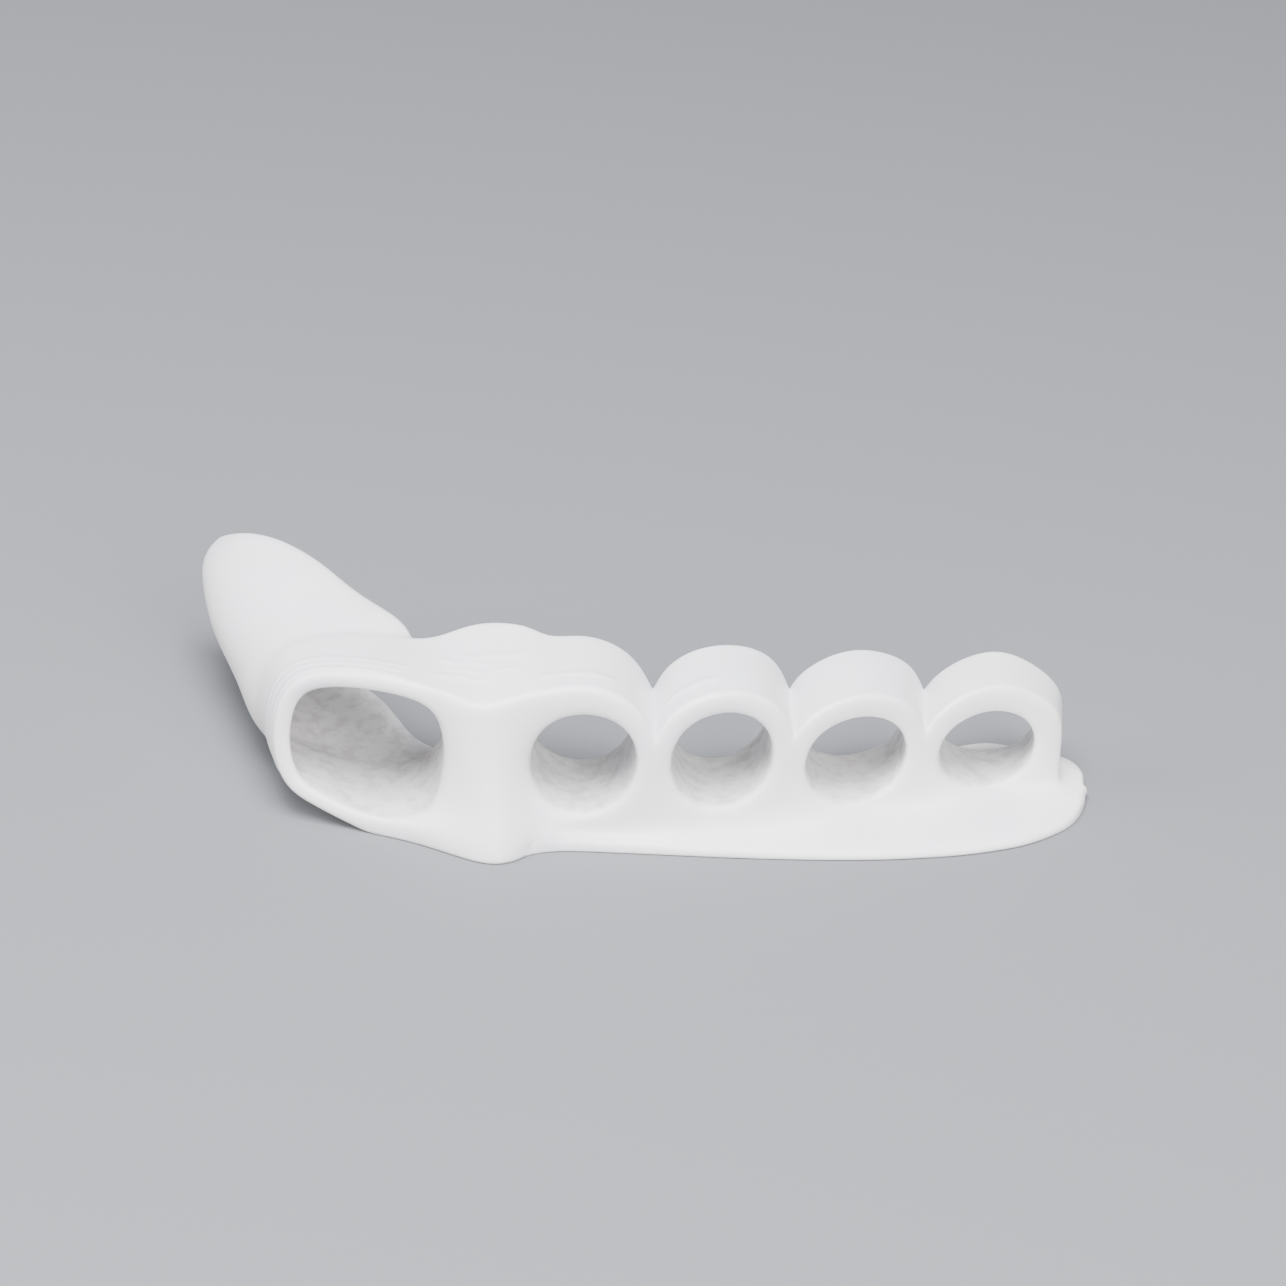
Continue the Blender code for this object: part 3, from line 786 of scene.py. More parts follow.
@dataclass
class Spreader:
    """The thick post between the big toe and the second toe."""

    row: LoopRow
    sole: Sole
    big: BigLoop
    nose: float = 0.0082
    tail: float = 0.0040
    rise: float = 0.0026

    NOSE_ROW_SHARE = 0.8
    TAIL_ROW_SHARE = 0.7
    RISE_RUN = 6

    def posts(self) -> list[SpreaderPost]:
        """Gives the rows of points, from the foot to the top."""
        return [
            SpreaderPost("under", 0.14, 0.00, 1.00, 0.0, 0.0, 0.0),
            SpreaderPost("over", 0.14, 0.00, 0.95, 0.0, 0.0, 0.0),
            SpreaderPost("post11", 0.10, 0.30, 0.72, 0.6, 0.0, 0.0),
            SpreaderPost("post0", 0.02, 0.55, 0.46, 0.9, 0.0, 0.0),
            SpreaderPost("post1", 0.00, 0.78, 0.30, 1.0, -0.2, 0.3),
            SpreaderPost("top", -0.10, 1.00, 0.20, 1.0, -0.65, 0.9),
            SpreaderPost("left", -0.40, 1.00, 0.05, 0.3, -0.25, 0.60),
            SpreaderPost("right", 0.42, 1.00, 0.08, 0.5, 0.15, 1.05),
        ]

    def add(self, cage: Cage) -> None:
        """Adds the post, its nose and its raised top."""
        for post in self.posts():
            self.add_post(cage, post)
        upper = (
            ["big.bore2", "big.bore1", "spreader.left", "big.skin2"],
            ["big.bore1", "spreader.post1", "spreader.top", "spreader.left"],
            ["spreader.post1", "second.bore5", "spreader.right", "spreader.top"],
            ["second.bore5", "second.bore4", "second.crown4", "spreader.right"],
            ["big.bore1", "big.bore0", "spreader.post0", "spreader.post1"],
            ["spreader.post1", "spreader.post0", "second.bore6", "second.bore5"],
            ["big.bore0", "big.bore11", "spreader.post11", "spreader.post0"],
            ["spreader.post0", "spreader.post11", "second.bore7", "second.bore6"],
            ["big.bore11", "big.bore10", "spreader.over", "spreader.post11"],
            ["spreader.post11", "spreader.over", "second.foot7.over", "second.bore7"],
        )
        for polygon in upper:
            cage.prism(polygon, Station.LOOP_FRONT, Station.LOOP_BACK)
        lower = (
            ["big.bore10", "big.skin10", "spreader.under", "spreader.over"],
            ["spreader.over", "spreader.under", "second.foot7.under", "second.foot7.over"],
        )
        for polygon in lower:
            cage.prism(polygon, Station.LOOP_FRONT, Station.SOLE_BACK)

    def add_post(self, cage: Cage, post: SpreaderPost) -> None:
        """Adds one row of points of the spreader."""
        row = self.row
        x = (row.spreader_left + row.spreader_right) / 2 + row.spreader_width * post.side
        nose, tail = self.nose * post.nose, self.tail * post.tail
        first, last = -nose * self.NOSE_ROW_SHARE, tail * self.TAIL_ROW_SHARE
        inner = [first + (last - first) * step / 4 for step in range(5)]
        pushes = [-nose, -nose, -nose, -nose, *inner, tail, 0.0, 0.0]
        ys = self.sole.ys(x)
        bulge = self.sole.bulge(x)
        for station, share in enumerate(BULGE_SHARES):
            ys[station] += bulge * share
        top = self.big.wall * 2 + self.big.bore_height
        for station, y in enumerate(ys):
            run = min(1.0, max(0.0, (station - Station.FRONT_ROW) / self.RISE_RUN))
            rise = self.rise * (post.front + (post.back - post.front) * run)
            z = top * post.height + rise
            if post.name == "over":
                last = station == Station.SOLE_BACK
                z = self.sole.edge_thickness if last else self.sole.thickness
            cage.points[f"spreader.{post.name}", station] = (x, y + pushes[station], z)


class Ramp(Enum):
    """How a share runs from one end to the other."""

    EVEN = "LINEAR"
    SOFT = "SMOOTHSTEP"


class NodeTree:
    """A short way to write the nodes of a tree and their links."""

    def __init__(self, tree: bpy.types.NodeTree) -> None:
        """Keeps the tree that takes the nodes."""
        self.tree = tree

    def add(self, kind: str, inputs: dict | None = None, **options: object) -> bpy.types.Node:
        """Adds a node.

        Args:
            kind: The node's type.
            inputs: Values or output sockets for the inputs, by name or number.
            **options: Properties of the node.

        Returns:
            The node.
        """
        node = self.tree.nodes.new(kind)
        for name, value in options.items():
            setattr(node, name, value)
        for name, value in (inputs or {}).items():
            socket = node.inputs[name]
            if isinstance(value, bpy.types.NodeSocket):
                self.tree.links.new(value, socket)
            else:
                socket.default_value = value
        return node

    def math(self, operation: str, a: Value, b: Value = 0.0) -> bpy.types.NodeSocket:
        """Adds a Math node and gives its result."""
        return self.add("ShaderNodeMath", {0: a, 1: b}, operation=operation).outputs[0]

    def noise(
        self, scale: Value, detail: float, roughness: float, place_on: Value | None = None
    ) -> bpy.types.NodeSocket:
        """Adds a noise texture.

        Args:
            scale: How fine it is.
            detail: How much finer its smallest spots are.
            roughness: How strong those are.
            place_on: The coordinates that it lies on, or None for each point's position.

        Returns:
            The noise.
        """
        inputs = {"Scale": scale, "Detail": detail, "Roughness": roughness}
        if place_on is not None:
            inputs["Vector"] = place_on
        return self.add("ShaderNodeTexNoise", inputs).outputs[0]

    def ramp(
        self, value: Value, start: Value, end: Value, kind: Ramp, falls: bool = False
    ) -> bpy.types.NodeSocket:
        """Turns a value into a share from 0 to 1.

        Args:
            value: The value.
            start: The value where the share starts to change.
            end: The value where it stops.
            kind: How it runs between them.
            falls: True where it falls from 1 to 0.

        Returns:
            The share.
        """
        first, last = (1.0, 0.0) if falls else (0.0, 1.0)
        inputs = {"Value": value, "From Min": start, "From Max": end}
        inputs.update({"To Min": first, "To Max": last})
        node = self.add("ShaderNodeMapRange", inputs, interpolation_type=kind.value)
        return node.outputs["Result"]

    def dress(self, geometry: bpy.types.NodeSocket, material: bpy.types.NodeSocket) -> None:
        """Shades a geometry smoothly in a material and makes it the tree's result."""
        real = self.add("GeometryNodeRealizeInstances", {0: geometry})
        shaded = self.add("GeometryNodeSetShadeSmooth", {0: real.outputs[0]})
        inputs = {"Geometry": shaded.outputs[0], "Material": material}
        dressed = self.add("GeometryNodeSetMaterial", inputs)
        self.add("NodeGroupOutput", {0: dressed.outputs[0]})


class SocketKind(Enum):
    """The kinds of sockets that the trees have."""

    GEOMETRY = "NodeSocketGeometry"
    INTEGER = "NodeSocketInt"
    NUMBER = "NodeSocketFloat"
    OBJECT = "NodeSocketObject"
    MATERIAL = "NodeSocketMaterial"
    COLOUR = "NodeSocketColor"
    VECTOR = "NodeSocketVector"


def new_tree(name: str, inputs: dict[str, SocketKind]) -> tuple[NodeTree, dict]:
    """Makes a Geometry Nodes tree with named inputs and one geometry output.

    Args:
        name: The tree's name.
        inputs: The kind of each input, by name.

    Returns:
        The tree, and its input sockets by name.
    """
    group = bpy.data.node_groups.new(name, "GeometryNodeTree")
    for label, kind in inputs.items():
        group.interface.new_socket(label, in_out="INPUT", socket_type=kind.value)
    group.interface.new_socket("Geometry", in_out="OUTPUT", socket_type=SocketKind.GEOMETRY.value)
    tree = NodeTree(group)
    source = tree.add("NodeGroupInput")
    return tree, {label: source.outputs[label] for label in inputs}


def apply_tree(carrier: bpy.types.Object, tree: NodeTree, values: dict) -> bpy.types.Object:
    """Runs a Geometry Nodes tree on an object and keeps the result as a plain mesh.

    Args:
        carrier: The object that the tree starts from, which is removed.
        tree: The tree.
        values: Values for the tree's inputs, by name.

    Returns:
        A new object, named as the carrier was, at the origin.
    """
    modifier = carrier.modifiers.new("shape", "NODES")
    modifier.node_group = tree.tree
    for item in tree.tree.interface.items_tree:
        if item.item_type == "SOCKET" and item.in_out == "INPUT" and item.name in values:
            modifier[item.identifier] = values[item.name]
    graph = bpy.context.evaluated_depsgraph_get()
    mesh = bpy.data.meshes.new_from_object(carrier.evaluated_get(graph), depsgraph=graph)
    name = carrier.name
    bpy.data.objects.remove(carrier)
    mesh.name = name
    return place(name, mesh)


def place(name: str, data: bpy.types.ID) -> bpy.types.Object:
    """Puts a mesh, a curve, a light or a camera in the scene."""
    item = bpy.data.objects.new(name, data)
    bpy.context.scene.collection.objects.link(item)
    return item


@dataclass(frozen=True)
class MouldMarks:
    """Faint lines that the mould left: paths near the surface, which the skin tree snaps to it.

    A setback is a line's distance behind the loops' front faces. A flow mark is a setback and
    the angles where it starts and ends. A ripple is a setback and the shares of the spreader's
    width where it starts and ends.
    """

    row: LoopRow
    big: BigLoop

    STEPS = 8
    LONG_STEPS = 12
    THIRD_FLOW = (0.0052, 138, 98)
    SECOND_FLOW = (0.0046, 118, 74)
    LIP_SETBACKS = (0.0016, 0.0034, 0.0050)
    LIP_START = 75
    LIP_TURN = 125
    LIP_SQUARENESS = 2.6
    LIP_MIDDLE = 0.53
    RIPPLES = (
        (0.0052, -0.05, 0.62),
        (0.0070, 0.10, 0.80),
        (0.0090, -0.02, 0.55),
        (0.0108, 0.25, 0.86),
    )
    RIPPLE_HEIGHT = 0.0004
    RIPPLE_TURN = 1.3
    RIPPLE_SHIFT = 900
    SHELF_LEFT = 0.0040
    SHELF_RIGHT = 0.0020
    SHELF_FRONT = 0.0010
    SHELF_HEIGHT = 0.0024

    def crown_line(self, loop: ToeLoop, setback: float, start: float, end: float) -> list[Point]:
        """Gives a line along a loop's crown.

        Args:
            loop: The loop.
            setback: Its distance behind the front face.
            start: The angle where it starts, in degrees.
            end: The angle where it ends.

        Returns:
            The points of the line.
        """
        oval = Oval(loop.width / 2 + self.row.web_wall, loop.height / 2 + loop.crown)
        points = []
        for step in range(self.STEPS + 1):
            dx, dz = oval.at(start + (end - start) * step / self.STEPS)
            x = loop.x + dx
            points.append((x, self.row.front(x) + setback, loop.z + dz))
        return points

    def lip_line(self, setback: float) -> list[Point]:
        """Gives a line round the front of the big toe's loop, over the strap."""
        big = self.big
        half_width, half_height = big.bore_width / 2, big.bore_height / 2
        oval = Oval(half_width + big.wall, half_height + big.wall, self.LIP_SQUARENESS)
        middle_x = self.row.spreader_left - half_width
        middle_z = big.wall + big.bore_height * self.LIP_MIDDLE
        points = []
        for step in range(self.LONG_STEPS + 1):
            dx, dz = oval.at(self.LIP_START + self.LIP_TURN * step / self.LONG_STEPS)
            x = middle_x + dx
            points.append((x, self.row.front(x) + setback, middle_z + dz))
        return points

    def ripple(self, setback: float, start: float, end: float) -> list[Point]:
        """Gives a wavy line over the spreader's top.

        Args:
            setback: Its distance behind the front face.
            start: The share of the spreader's width where it starts.
            end: The share where it ends.

        Returns:
            The points of the line.
        """
        left, right = self.row.spreader_left, self.row.spreader_right
        top = self.big.wall * 2 + self.big.bore_height
        points = []
        for step in range(self.STEPS + 1):
            x = left + (right - left) * (start + (end - start) * step / self.STEPS)
            wave = math.sin(step * self.RIPPLE_TURN + setback * self.RIPPLE_SHIFT)
            points.append((x, setback + self.RIPPLE_HEIGHT * wave, top))
        return points

    def raised(self) -> list[list[Point]]:
        """Gives the raised lines: flow marks on the crowns and the strap, ripples on the top."""
        return [
            self.crown_line(self.row.third, *self.THIRD_FLOW),
            self.crown_line(self.row.second, *self.SECOND_FLOW),
            *(self.lip_line(setback) for setback in self.LIP_SETBACKS),
            *(self.ripple(*ripple) for ripple in self.RIPPLES),
        ]

    def sunk(self) -> list[list[Point]]:
        """Gives the sunk line: the step on the shelf."""
        row = self.row
        start = row.third.x - self.SHELF_LEFT
        run = row.little.x - self.SHELF_RIGHT - row.third.x
        xs = [start + run * step / self.LONG_STEPS for step in range(self.LONG_STEPS + 1)]
        return [[(x, row.front(x) - self.SHELF_FRONT, self.SHELF_HEIGHT) for x in xs]]

    def curve(self, name: str, lines: list[list[Point]], shift: Vector) -> bpy.types.Object:
        """Makes the lines one curve object, which is only a guide.

        Args:
            name: The object's name.
            lines: The points of each line.
            shift: What is added to every point.

        Returns:
            The curve object.
        """
        curve = bpy.data.curves.new(name, "CURVE")
        curve.dimensions = "3D"
        for line in lines:
            spline = curve.splines.new("POLY")
            spline.points.add(len(line) - 1)
            for spot, point in zip(spline.points, line):
                spot.co = (*(Vector(point) + shift), 1.0)
        return place(name, curve)


class SkinTree:
    """The Geometry Nodes tree that rounds the cage and gives the skin its soft relief."""

    INPUTS = {
        "Geometry": SocketKind.GEOMETRY,
        "Level": SocketKind.INTEGER,
        "Wave Height": SocketKind.NUMBER,
        "Wave Length": SocketKind.NUMBER,
        "Raised Marks": SocketKind.OBJECT,
        "Sunk Marks": SocketKind.OBJECT,
        "Mark Height": SocketKind.NUMBER,
        "Mark Width": SocketKind.NUMBER,
        "Gate": SocketKind.VECTOR,
        "Gate Height": SocketKind.NUMBER,
        "Material": SocketKind.MATERIAL,
    }
    MARK_POINTS = 90
    WAVE_DETAIL = 1.5
    WAVE_ROUGHNESS = 0.4
    LIFT_START = 0.0002
    LIFT_END = 0.0016
    GATE_REACH = 0.0016

    def __init__(self) -> None:
        """Builds the tree."""
        self.tree, self.given = new_tree("soft_moulded_skin", self.INPUTS)
        tree, given = self.tree, self.given
        crease = tree.add("GeometryNodeInputNamedAttribute", {"Name": CREASE})
        smooth = tree.add(
            "GeometryNodeSubdivisionSurface",
            {
                "Mesh": given["Geometry"],
                "Level": given["Level"],
                "Edge Crease": crease.outputs["Attribute"],
            },
        ).outputs["Mesh"]
        raised = self.mark(smooth, given["Raised Marks"])
        sunk = self.mark(smooth, given["Sunk Marks"])
        marks = tree.math("MULTIPLY", tree.math("SUBTRACT", raised, sunk), given["Mark Height"])
        relief = tree.math("MULTIPLY", tree.math("ADD", marks, self.waves()), self.lift())
        height = tree.math("ADD", relief, self.nub())
        normal = tree.add("GeometryNodeInputNormal").outputs["Normal"]
        offset = tree.add(
            "ShaderNodeVectorMath", {0: normal, "Scale": height}, operation="SCALE"
        )
        moved = tree.add(
            "GeometryNodeSetPosition", {"Geometry": smooth, "Offset": offset.outputs[0]}
        )
        tree.dress(moved.outputs[0], given["Material"])

    def mark(
        self, skin: bpy.types.NodeSocket, guide: bpy.types.NodeSocket
    ) -> bpy.types.NodeSocket:
        """Finds the points of the skin that lie near the lines of a guide.

        Args:
            skin: The rounded skin.
            guide: The guide's curve object.

        Returns:
            How strong the lines are at each point, from 0 to 1.
        """
        tree = self.tree
        lines = tree.add("GeometryNodeObjectInfo", {"Object": guide}).outputs["Geometry"]
        inputs = {"Curve": lines, "Count": self.MARK_POINTS}
        fine = tree.add("GeometryNodeResampleCurve", inputs).outputs[0]
        nearest = tree.add("GeometryNodeProximity", {0: skin}, target_element="FACES")
        inputs = {"Geometry": fine, "Position": nearest.outputs["Position"]}
        snapped = tree.add("GeometryNodeSetPosition", inputs)
        wire = tree.add("GeometryNodeCurveToMesh", {"Curve": snapped.outputs[0]}).outputs[0]
        reach = tree.add("GeometryNodeProximity", {0: wire}, target_element="EDGES")
        width = self.given["Mark Width"]
        return tree.ramp(reach.outputs["Distance"], 0.0, width, Ramp.SOFT, falls=True)

    def waves(self) -> bpy.types.NodeSocket:
        """Gives the slow unevenness of soft gel that was pulled from its mould."""
        tree = self.tree
        scale = tree.math("DIVIDE", 1.0, self.given["Wave Length"])
        noise = tree.noise(scale, self.WAVE_DETAIL, self.WAVE_ROUGHNESS)
        centred = tree.math("SUBTRACT", noise, 0.5)
        return tree.math("MULTIPLY", centred, self.given["Wave Height"])

    def lift(self) -> bpy.types.NodeSocket:
        """Gives how free each point is to move: nothing on the underside, all above the sole."""
        position = self.tree.add("GeometryNodeInputPosition").outputs[0]
        height = self.tree.add("ShaderNodeSeparateXYZ", {0: position}).outputs["Z"]
        return self.tree.ramp(height, self.LIFT_START, self.LIFT_END, Ramp.SOFT)

    def nub(self) -> bpy.types.NodeSocket:
        """Gives the height of the small nub that the gate left at the sole's tip."""
        tree = self.tree
        position = tree.add("GeometryNodeInputPosition").outputs[0]
        ends = {0: position, 1: self.given["Gate"]}
        reach = tree.add("ShaderNodeVectorMath", ends, operation="DISTANCE").outputs["Value"]
        bump = tree.ramp(reach, 0.0, self.GATE_REACH, Ramp.SOFT, falls=True)
        free = tree.math("MULTIPLY", bump, self.lift())
        return tree.math("MULTIPLY", free, self.given["Gate Height"])


class CrumbTree:
    """The Geometry Nodes tree that scatters specks of gel dust on the bores' floors."""

    INPUTS = {
        "Geometry": SocketKind.GEOMETRY,
        "Skin": SocketKind.OBJECT,
        "Density": SocketKind.NUMBER,
        "Size": SocketKind.NUMBER,
        "Seed": SocketKind.INTEGER,
        "Material": SocketKind.MATERIAL,
    }
    # Scale, detail and roughness of the patches
    PATCHES = (160.0, 0.0, 0.5)
    LEAST_RISE = 0.55
    LEAST_PATCH = 0.56
    LEAST_BORE = 0.9
    SMALLEST = (0.4, 0.4, 0.2)
    LARGEST = (1.3, 0.9, 0.5)

    def __init__(self) -> None:
        """Builds the tree."""
        self.tree, given = new_tree("gel_crumbs", self.INPUTS)
        tree = self.tree
        skin = tree.add("GeometryNodeObjectInfo", {"Object": given["Skin"]}).outputs["Geometry"]
        bore = tree.add("GeometryNodeInputNamedAttribute", {"Name": BORE}).outputs["Attribute"]
        patches = tree.noise(*self.PATCHES)
        up = tree.add("GeometryNodeInputNormal").outputs["Normal"]
        rise = tree.add("ShaderNodeSeparateXYZ", {0: up}).outputs["Z"]
        floor = tree.math("GREATER_THAN", rise, self.LEAST_RISE)
        patch = tree.math("GREATER_THAN", patches, self.LEAST_PATCH)
        inside = tree.math("GREATER_THAN", bore, self.LEAST_BORE)
        chosen = tree.math("MULTIPLY", tree.math("MULTIPLY", floor, patch), inside)
        points = tree.add(
            "GeometryNodeDistributePointsOnFaces",
            {
                "Mesh": skin,
                "Density": tree.math("MULTIPLY", chosen, given["Density"]),
                "Seed": given["Seed"],
            },
        )
        grain = tree.add("GeometryNodeMeshIcoSphere", {"Radius": given["Size"], "Subdivisions": 1})
        size = tree.add(
            "FunctionNodeRandomValue",
            {"Min": self.SMALLEST, "Max": self.LARGEST, "Seed": given["Seed"]},
            data_type="FLOAT_VECTOR",
        ).outputs["Value"]
        crumbs = tree.add(
            "GeometryNodeInstanceOnPoints",
            {
                "Points": points.outputs["Points"],
                "Instance": grain.outputs["Mesh"],
                "Rotation": points.outputs["Rotation"],
                "Scale": size,
            },
        )
        tree.dress(crumbs.outputs[0], given["Material"])


class GelHaze:
    """The shader group with the milky clouds, the matt patches, the fine skin of the gel and a
    painted shade that darkens the bores.
    """

    INPUTS = {
        "Colour": SocketKind.COLOUR,
        "Cloud Colour": SocketKind.COLOUR,
        "Cloud Size": SocketKind.NUMBER,
        # The colour of the shade painted inside the bores
        "Bore Colour": SocketKind.COLOUR,
        "Roughness": SocketKind.NUMBER,
        "Matt Patches": SocketKind.NUMBER,
        "Skin Depth": SocketKind.NUMBER,
    }
    OUTPUTS = {
        "Colour": SocketKind.COLOUR,
        "Roughness": SocketKind.NUMBER,
        "Height": SocketKind.NUMBER,
    }
    # Detail and roughness of the clouds, and scale, detail and roughness of the finer textures
    CLOUDS = (3.0, 0.5)
    SCUFFS_AND_SHADE_MOTTLE = (520.0, 5.0, 0.62)
    GRAIN = (900.0, 4.0, 0.55)
    RIPPLES = (210.0, 2.0, 0.5)
    CLOUD_EDGES = (0.42, 0.62)
    SCUFF_AND_MOTTLE_EDGES = (0.45, 0.62)
    # Painted shade in the bores: the share that the scuff noise mottles, and the even share under it
    MOTTLED_SHADE_SHARE = 0.6
    EVEN_SHADE_SHARE = 0.4
    BORE_GRAIN = 0.8
    SKIN_GRAIN = 0.25

    def __init__(self) -> None:
        """Builds the group."""
        self.group = bpy.data.node_groups.new("gel_haze", "ShaderNodeTree")
        for sockets, side in ((self.INPUTS, "INPUT"), (self.OUTPUTS, "OUTPUT")):
            for label, kind in sockets.items():
                self.group.interface.new_socket(label, in_out=side, socket_type=kind.value)
        tree = NodeTree(self.group)
        given = tree.add("NodeGroupInput").outputs
        place_on = tree.add("ShaderNodeTexCoord").outputs["Object"]
        bore = tree.add("ShaderNodeAttribute", attribute_name=BORE).outputs["Fac"]
        cloud_scale = tree.math("DIVIDE", 1.0, given["Cloud Size"])
        clouds = tree.noise(cloud_scale, *self.CLOUDS, place_on)
        cloud = tree.ramp(clouds, *self.CLOUD_EDGES, Ramp.EVEN)
        milky = self.mix(tree, cloud, given["Colour"], given["Cloud Colour"])
        # Scuff noise: it roughens the bores and mottles their painted shade
        scuffs_and_shade_mottle = tree.ramp(tree.noise(*self.SCUFFS_AND_SHADE_MOTTLE, place_on), *self.SCUFF_AND_MOTTLE_EDGES, Ramp.EVEN)
        # Painted shade: the bores' colour is darkened towards the painted shade colour, deepest
        # where the scuff noise is strong
        bore_shade_mottle = tree.math("ADD", tree.math("MULTIPLY", scuffs_and_shade_mottle, self.MOTTLED_SHADE_SHARE), self.EVEN_SHADE_SHARE)
        colour = self.mix(tree, tree.math("MULTIPLY", bore, bore_shade_mottle), milky, given["Bore Colour"])
        patches = tree.math("MULTIPLY", tree.math("SUBTRACT", clouds, 0.5), given["Matt Patches"])
        dusty = tree.math("MULTIPLY", tree.math("MULTIPLY", bore, scuffs_and_shade_mottle), given["Matt Patches"])
        rough = tree.math("ADD", given["Roughness"], tree.math("ADD", patches, dusty))
        grain = tree.noise(*self.GRAIN, place_on)
        ripple = tree.noise(*self.RIPPLES, place_on)
        share = tree.math("ADD", tree.math("MULTIPLY", bore, self.BORE_GRAIN), self.SKIN_GRAIN)
        relief = tree.math("ADD", tree.math("MULTIPLY", grain, share), ripple)
        height = tree.math("MULTIPLY", relief, given["Skin Depth"])
        tree.add("NodeGroupOutput", {"Colour": colour, "Roughness": rough, "Height": height})

    def mix(self, tree: NodeTree, share: Value, first: Value, second: Value) -> Value:
        """Mixes two colours by a share."""
        node = tree.add("ShaderNodeMix", data_type="RGBA")
        for number, value in ((0, share), (6, first), (7, second)):
            tree.tree.links.new(value, node.inputs[number])
        return node.outputs[2]


@dataclass(frozen=True)
class GelFinish:
    """Milky silicone gel: it lets light in, scatters it and has a soft satin skin."""

    name: str
    colour: Colour
    cloud_colour: Colour
    # Painted shade: the darker colour that the gel takes inside the bores
    painted_bore_shade: Colour
    roughness: float
    matt_patches: float
    skin_depth: float
    cloud_size: float = 0.016
    scatter: float = 0.6
    scatter_depth: float = 0.0014
    scatter_tint: Colour = (1.0, 0.92, 0.86)
    refraction: float = 1.41
    gloss: float = 0.45

    def material(self, haze: GelHaze) -> bpy.types.Material:
        """Makes the material.

        Args:
            haze: The group with the clouds and the fine skin.

        Returns:
            The material.
        """
        material = bpy.data.materials.new(self.name)
        material.use_nodes = True
        tree = NodeTree(material.node_tree)
        shader = material.node_tree.nodes["Principled BSDF"]
        group = tree.add("ShaderNodeGroup")
        group.node_tree = haze.group
        given = {
            "Colour": (*self.colour, 1.0),
            "Cloud Colour": (*self.cloud_colour, 1.0),
            "Cloud Size": self.cloud_size,
            "Bore Colour": (*self.painted_bore_shade, 1.0),
            "Roughness": self.roughness,
            "Matt Patches": self.matt_patches,
            "Skin Depth": self.skin_depth,
        }
        for label, value in given.items():
            group.inputs[label].default_value = value
        links = material.node_tree.links
        links.new(group.outputs["Colour"], shader.inputs["Base Color"])
        links.new(group.outputs["Roughness"], shader.inputs["Roughness"])
        inputs = {"Height": group.outputs["Height"], "Strength": 1.0, "Distance": 1.0}
        links.new(tree.add("ShaderNodeBump", inputs).outputs["Normal"], shader.inputs["Normal"])
        looks = {
            "Subsurface Weight": self.scatter,
            "Subsurface Radius": self.scatter_tint,
            "Subsurface Scale": self.scatter_depth,
            "IOR": self.refraction,
            "Specular IOR Level": self.gloss,
        }
        for label, value in looks.items():
            shader.inputs[label].default_value = value
        return material


@dataclass
class GelMoulding:
    """The whole moulding: loops, spreader, sole and bunion shield in one piece."""

    row: LoopRow
    level: int = 3
    valley_crease: float = 0.8
    wave_height: float = 0.00030
    wave_length: float = 0.011
    mark_height: float = 0.00020
    mark_width: float = 0.00110
    gate: Point = (0.0517, 0.0106, 0.0009)
    gate_height: float = 0.0006

    def build(self, gel: bpy.types.Material) -> bpy.types.Object:
        """Makes the moulding's skin.

        Args:
            gel: The material of the gel.

        Returns:
            The piece, which stands for the CAD solid.
        """
        row = self.row
        sole = Sole(row)
        loops = SmallLoops(row, sole)
        big = BigLoop(row, sole)
        cage = Cage()
        loops.add(cage)
        big.add(cage)
        Spreader(row, sole, big).add(cage)
        loops.lean_out(cage)
        shift = Vector((0, -row.front(row.third.x) - row.third.depth / 2, 0))
        mesh = cage.mesh(SKIN, shift, self.valley_crease)
        carrier = place(SKIN, mesh)
        marks = MouldMarks(row, big)
        raised = marks.curve("raised_guide", marks.raised(), shift)
        sunk = marks.curve("sunk_guide", marks.sunk(), shift)
        values = {
            "Level": self.level,
            "Wave Height": self.wave_height,
            "Wave Length": self.wave_length,
            "Raised Marks": raised,
            "Sunk Marks": sunk,
            "Mark Height": self.mark_height,
            "Mark Width": self.mark_width,
            "Gate": self.gate,
            "Gate Height": self.gate_height,
            "Material": gel,
        }
        piece = apply_tree(carrier, SkinTree().tree, values)
        bpy.data.objects.remove(raised)
        bpy.data.objects.remove(sunk)
        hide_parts(NODE)
        finish_piece(piece)
        return piece


@dataclass
class Crumbs:
    """Specks of gel dust on the floors of the bores."""

    density: float = 260000.0
    size: float = 0.00016
    seed: int = 7

    def build(self, skin: bpy.types.Object, gel: bpy.types.Material) -> bpy.types.Object:
        """Scatters the specks.

        Args:
            skin: The moulding's skin.
            gel: The material of the specks.

        Returns:
            The piece.
        """
        carrier = place(CRUMBS, bpy.data.meshes.new(CRUMBS))
        values = {
            "Skin": skin,
            "Density": self.density,
            "Size": self.size,
            "Seed": self.seed,
            "Material": gel,
        }
        piece = apply_tree(carrier, CrumbTree().tree, values)
        finish_piece(piece)
        return piece


def finish_piece(piece: bpy.types.Object) -> None:
    """Ties a finished piece to its body and logs how many faces it has."""
    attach(piece, BODY)
    LOG.info("%s: %d faces", piece.name, len(piece.data.polygons))


@dataclass(frozen=True)
class Softbox:
    """A square soft light that points at the moulding."""

    name: str
    spot: Point
    side: float
    power: float
    colour: Colour

    def build(self) -> None:
        """Puts the light in the scene."""
        lamp = bpy.data.lights.new(self.name, "AREA")
        lamp.shape = "SQUARE"
        lamp.size = self.side
        lamp.energy = self.power
        lamp.color = self.colour
        light = place(self.name, lamp)
        light.location = self.spot
        light.rotation_euler = (-Vector(self.spot)).to_track_quat("-Z", "Y").to_euler()


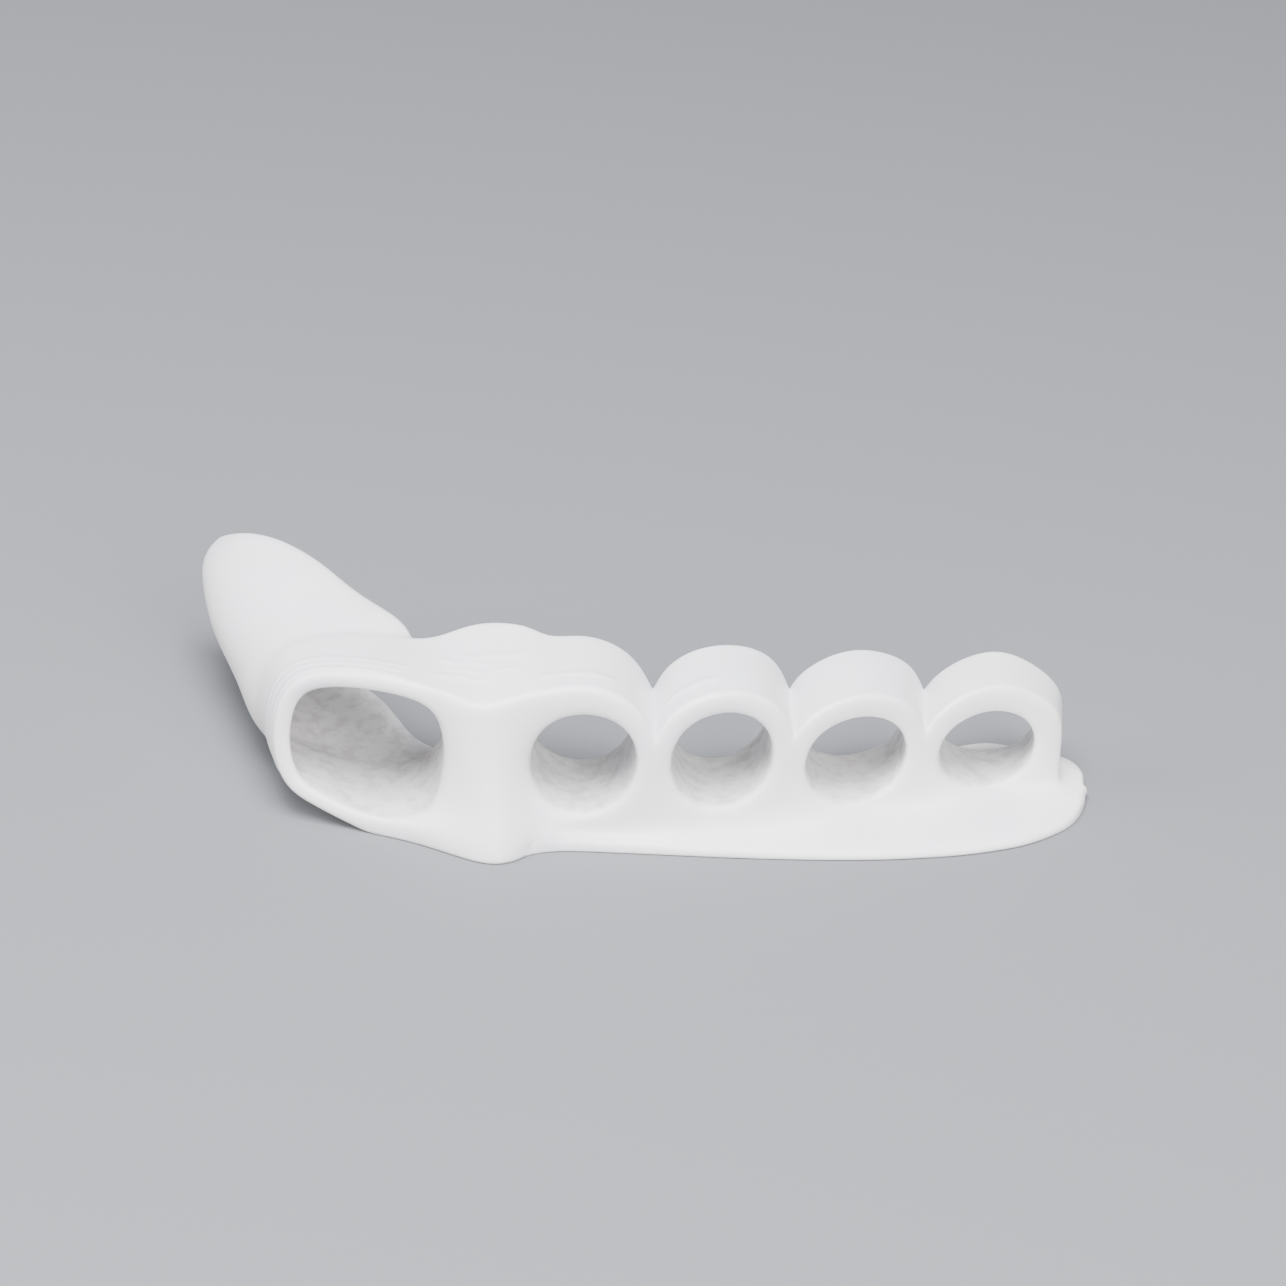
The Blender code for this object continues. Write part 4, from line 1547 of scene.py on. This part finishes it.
@dataclass(frozen=True)
class Studio:
    """The floor, the lights and the camera."""

    target: Point = (-0.0118, -0.0109, 0.0305)
    azimuth: float = -3.0
    elevation: float = 25.0
    roll: float = 3.95
    distance: float = 0.75
    frame_width: float = 0.16924
    sensor: float = 36.0
    nearest: float = 0.05
    floor_side: float = 3.0
    floor_gap: float = 0.0001
    floor_colour: Colour = (0.19, 0.195, 0.205)
    floor_roughness: float = 0.85
    room_colour: Colour = (0.93, 0.95, 1.0)
    room_light: float = 0.40

    SOFTBOXES = (
        Softbox("top_softbox", (-0.10, -0.38, 0.88), 0.55, 30.0, (0.94, 0.95, 1.0)),
        Softbox("front_fill", (0.30, -0.95, 0.50), 0.60, 16.0, (1.0, 0.97, 0.94)),
        Softbox("left_softbox", (-0.80, -0.20, 0.45), 0.50, 6.0, (1.0, 0.985, 0.97)),
    )

    def build(self) -> None:
        """Sets everything up round the moulding."""
        self.floor()
        for softbox in self.SOFTBOXES:
            softbox.build()
        self.sky()
        self.camera()

    def floor(self) -> None:
        """Lays the plain pale floor."""
        bm = bmesh.new()
        bmesh.ops.create_grid(bm, x_segments=2, y_segments=2, size=self.floor_side)
        bmesh.ops.translate(bm, vec=(0.0, 0.0, -self.floor_gap), verts=bm.verts)
        mesh = bpy.data.meshes.new("studio_floor")
        bm.to_mesh(mesh)
        bm.free()
        floor = place("studio_floor", mesh)
        material = bpy.data.materials.new("pale_floor")
        material.use_nodes = True
        shader = material.node_tree.nodes["Principled BSDF"]
        shader.inputs["Base Color"].default_value = (*self.floor_colour, 1.0)
        shader.inputs["Roughness"].default_value = self.floor_roughness
        mesh.materials.append(material)

    def sky(self) -> None:
        """Fills the room with a little even light."""
        world = bpy.data.worlds.new("room")
        world.use_nodes = True
        background = world.node_tree.nodes["Background"]
        background.inputs["Color"].default_value = (*self.room_colour, 1.0)
        background.inputs["Strength"].default_value = self.room_light
        bpy.context.scene.world = world

    def camera(self) -> None:
        """Puts the camera where the photograph was taken from."""
        azimuth, elevation, roll = (
            math.radians(angle) for angle in (self.azimuth, self.elevation, self.roll)
        )
        back = Vector(
            (
                math.sin(azimuth) * math.cos(elevation),
                -math.cos(azimuth) * math.cos(elevation),
                math.sin(elevation),
            )
        )
        right = Vector((math.cos(azimuth), math.sin(azimuth), 0.0))
        up = back.cross(right)
        right, up = (
            right * math.cos(roll) + up * math.sin(roll),
            up * math.cos(roll) - right * math.sin(roll),
        )
        lens = bpy.data.cameras.new("photo_camera")
        lens.sensor_width = self.sensor
        lens.lens = self.sensor * self.distance / self.frame_width
        lens.clip_start = self.nearest
        camera = place("photo_camera", lens)
        turn = Matrix((right, up, back)).transposed().to_4x4()
        camera.matrix_world = Matrix.Translation(Vector(self.target) + back * self.distance) @ turn
        bpy.context.scene.camera = camera


def main() -> None:
    """Builds the toe separator and the studio round it."""
    logging.basicConfig(level=logging.INFO, format="%(message)s")
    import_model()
    haze = GelHaze()
    gel = GelFinish(
        "milky_gel_skin",
        colour=(0.86, 0.86, 0.89),
        cloud_colour=(0.89, 0.87, 0.86),
        # painted shade inside the bores
        painted_bore_shade=(0.60, 0.585, 0.575),
        roughness=0.38,
        matt_patches=0.16,
        skin_depth=0.00006,
    ).material(haze)
    dust = GelFinish(
        "gel_dust",
        colour=(0.84, 0.83, 0.82),
        cloud_colour=(0.74, 0.73, 0.72),
        painted_bore_shade=(0.80, 0.80, 0.80),
        roughness=0.60,
        matt_patches=0.10,
        # painted shade on the crumbs inside the bores
        skin_depth=0.00002,
        scatter_depth=0.0006,
    ).material(haze)
    skin = GelMoulding(LoopRow()).build(gel)
    Crumbs().build(skin, dust)
    Studio().build()


if __name__ == "__main__":
    main()
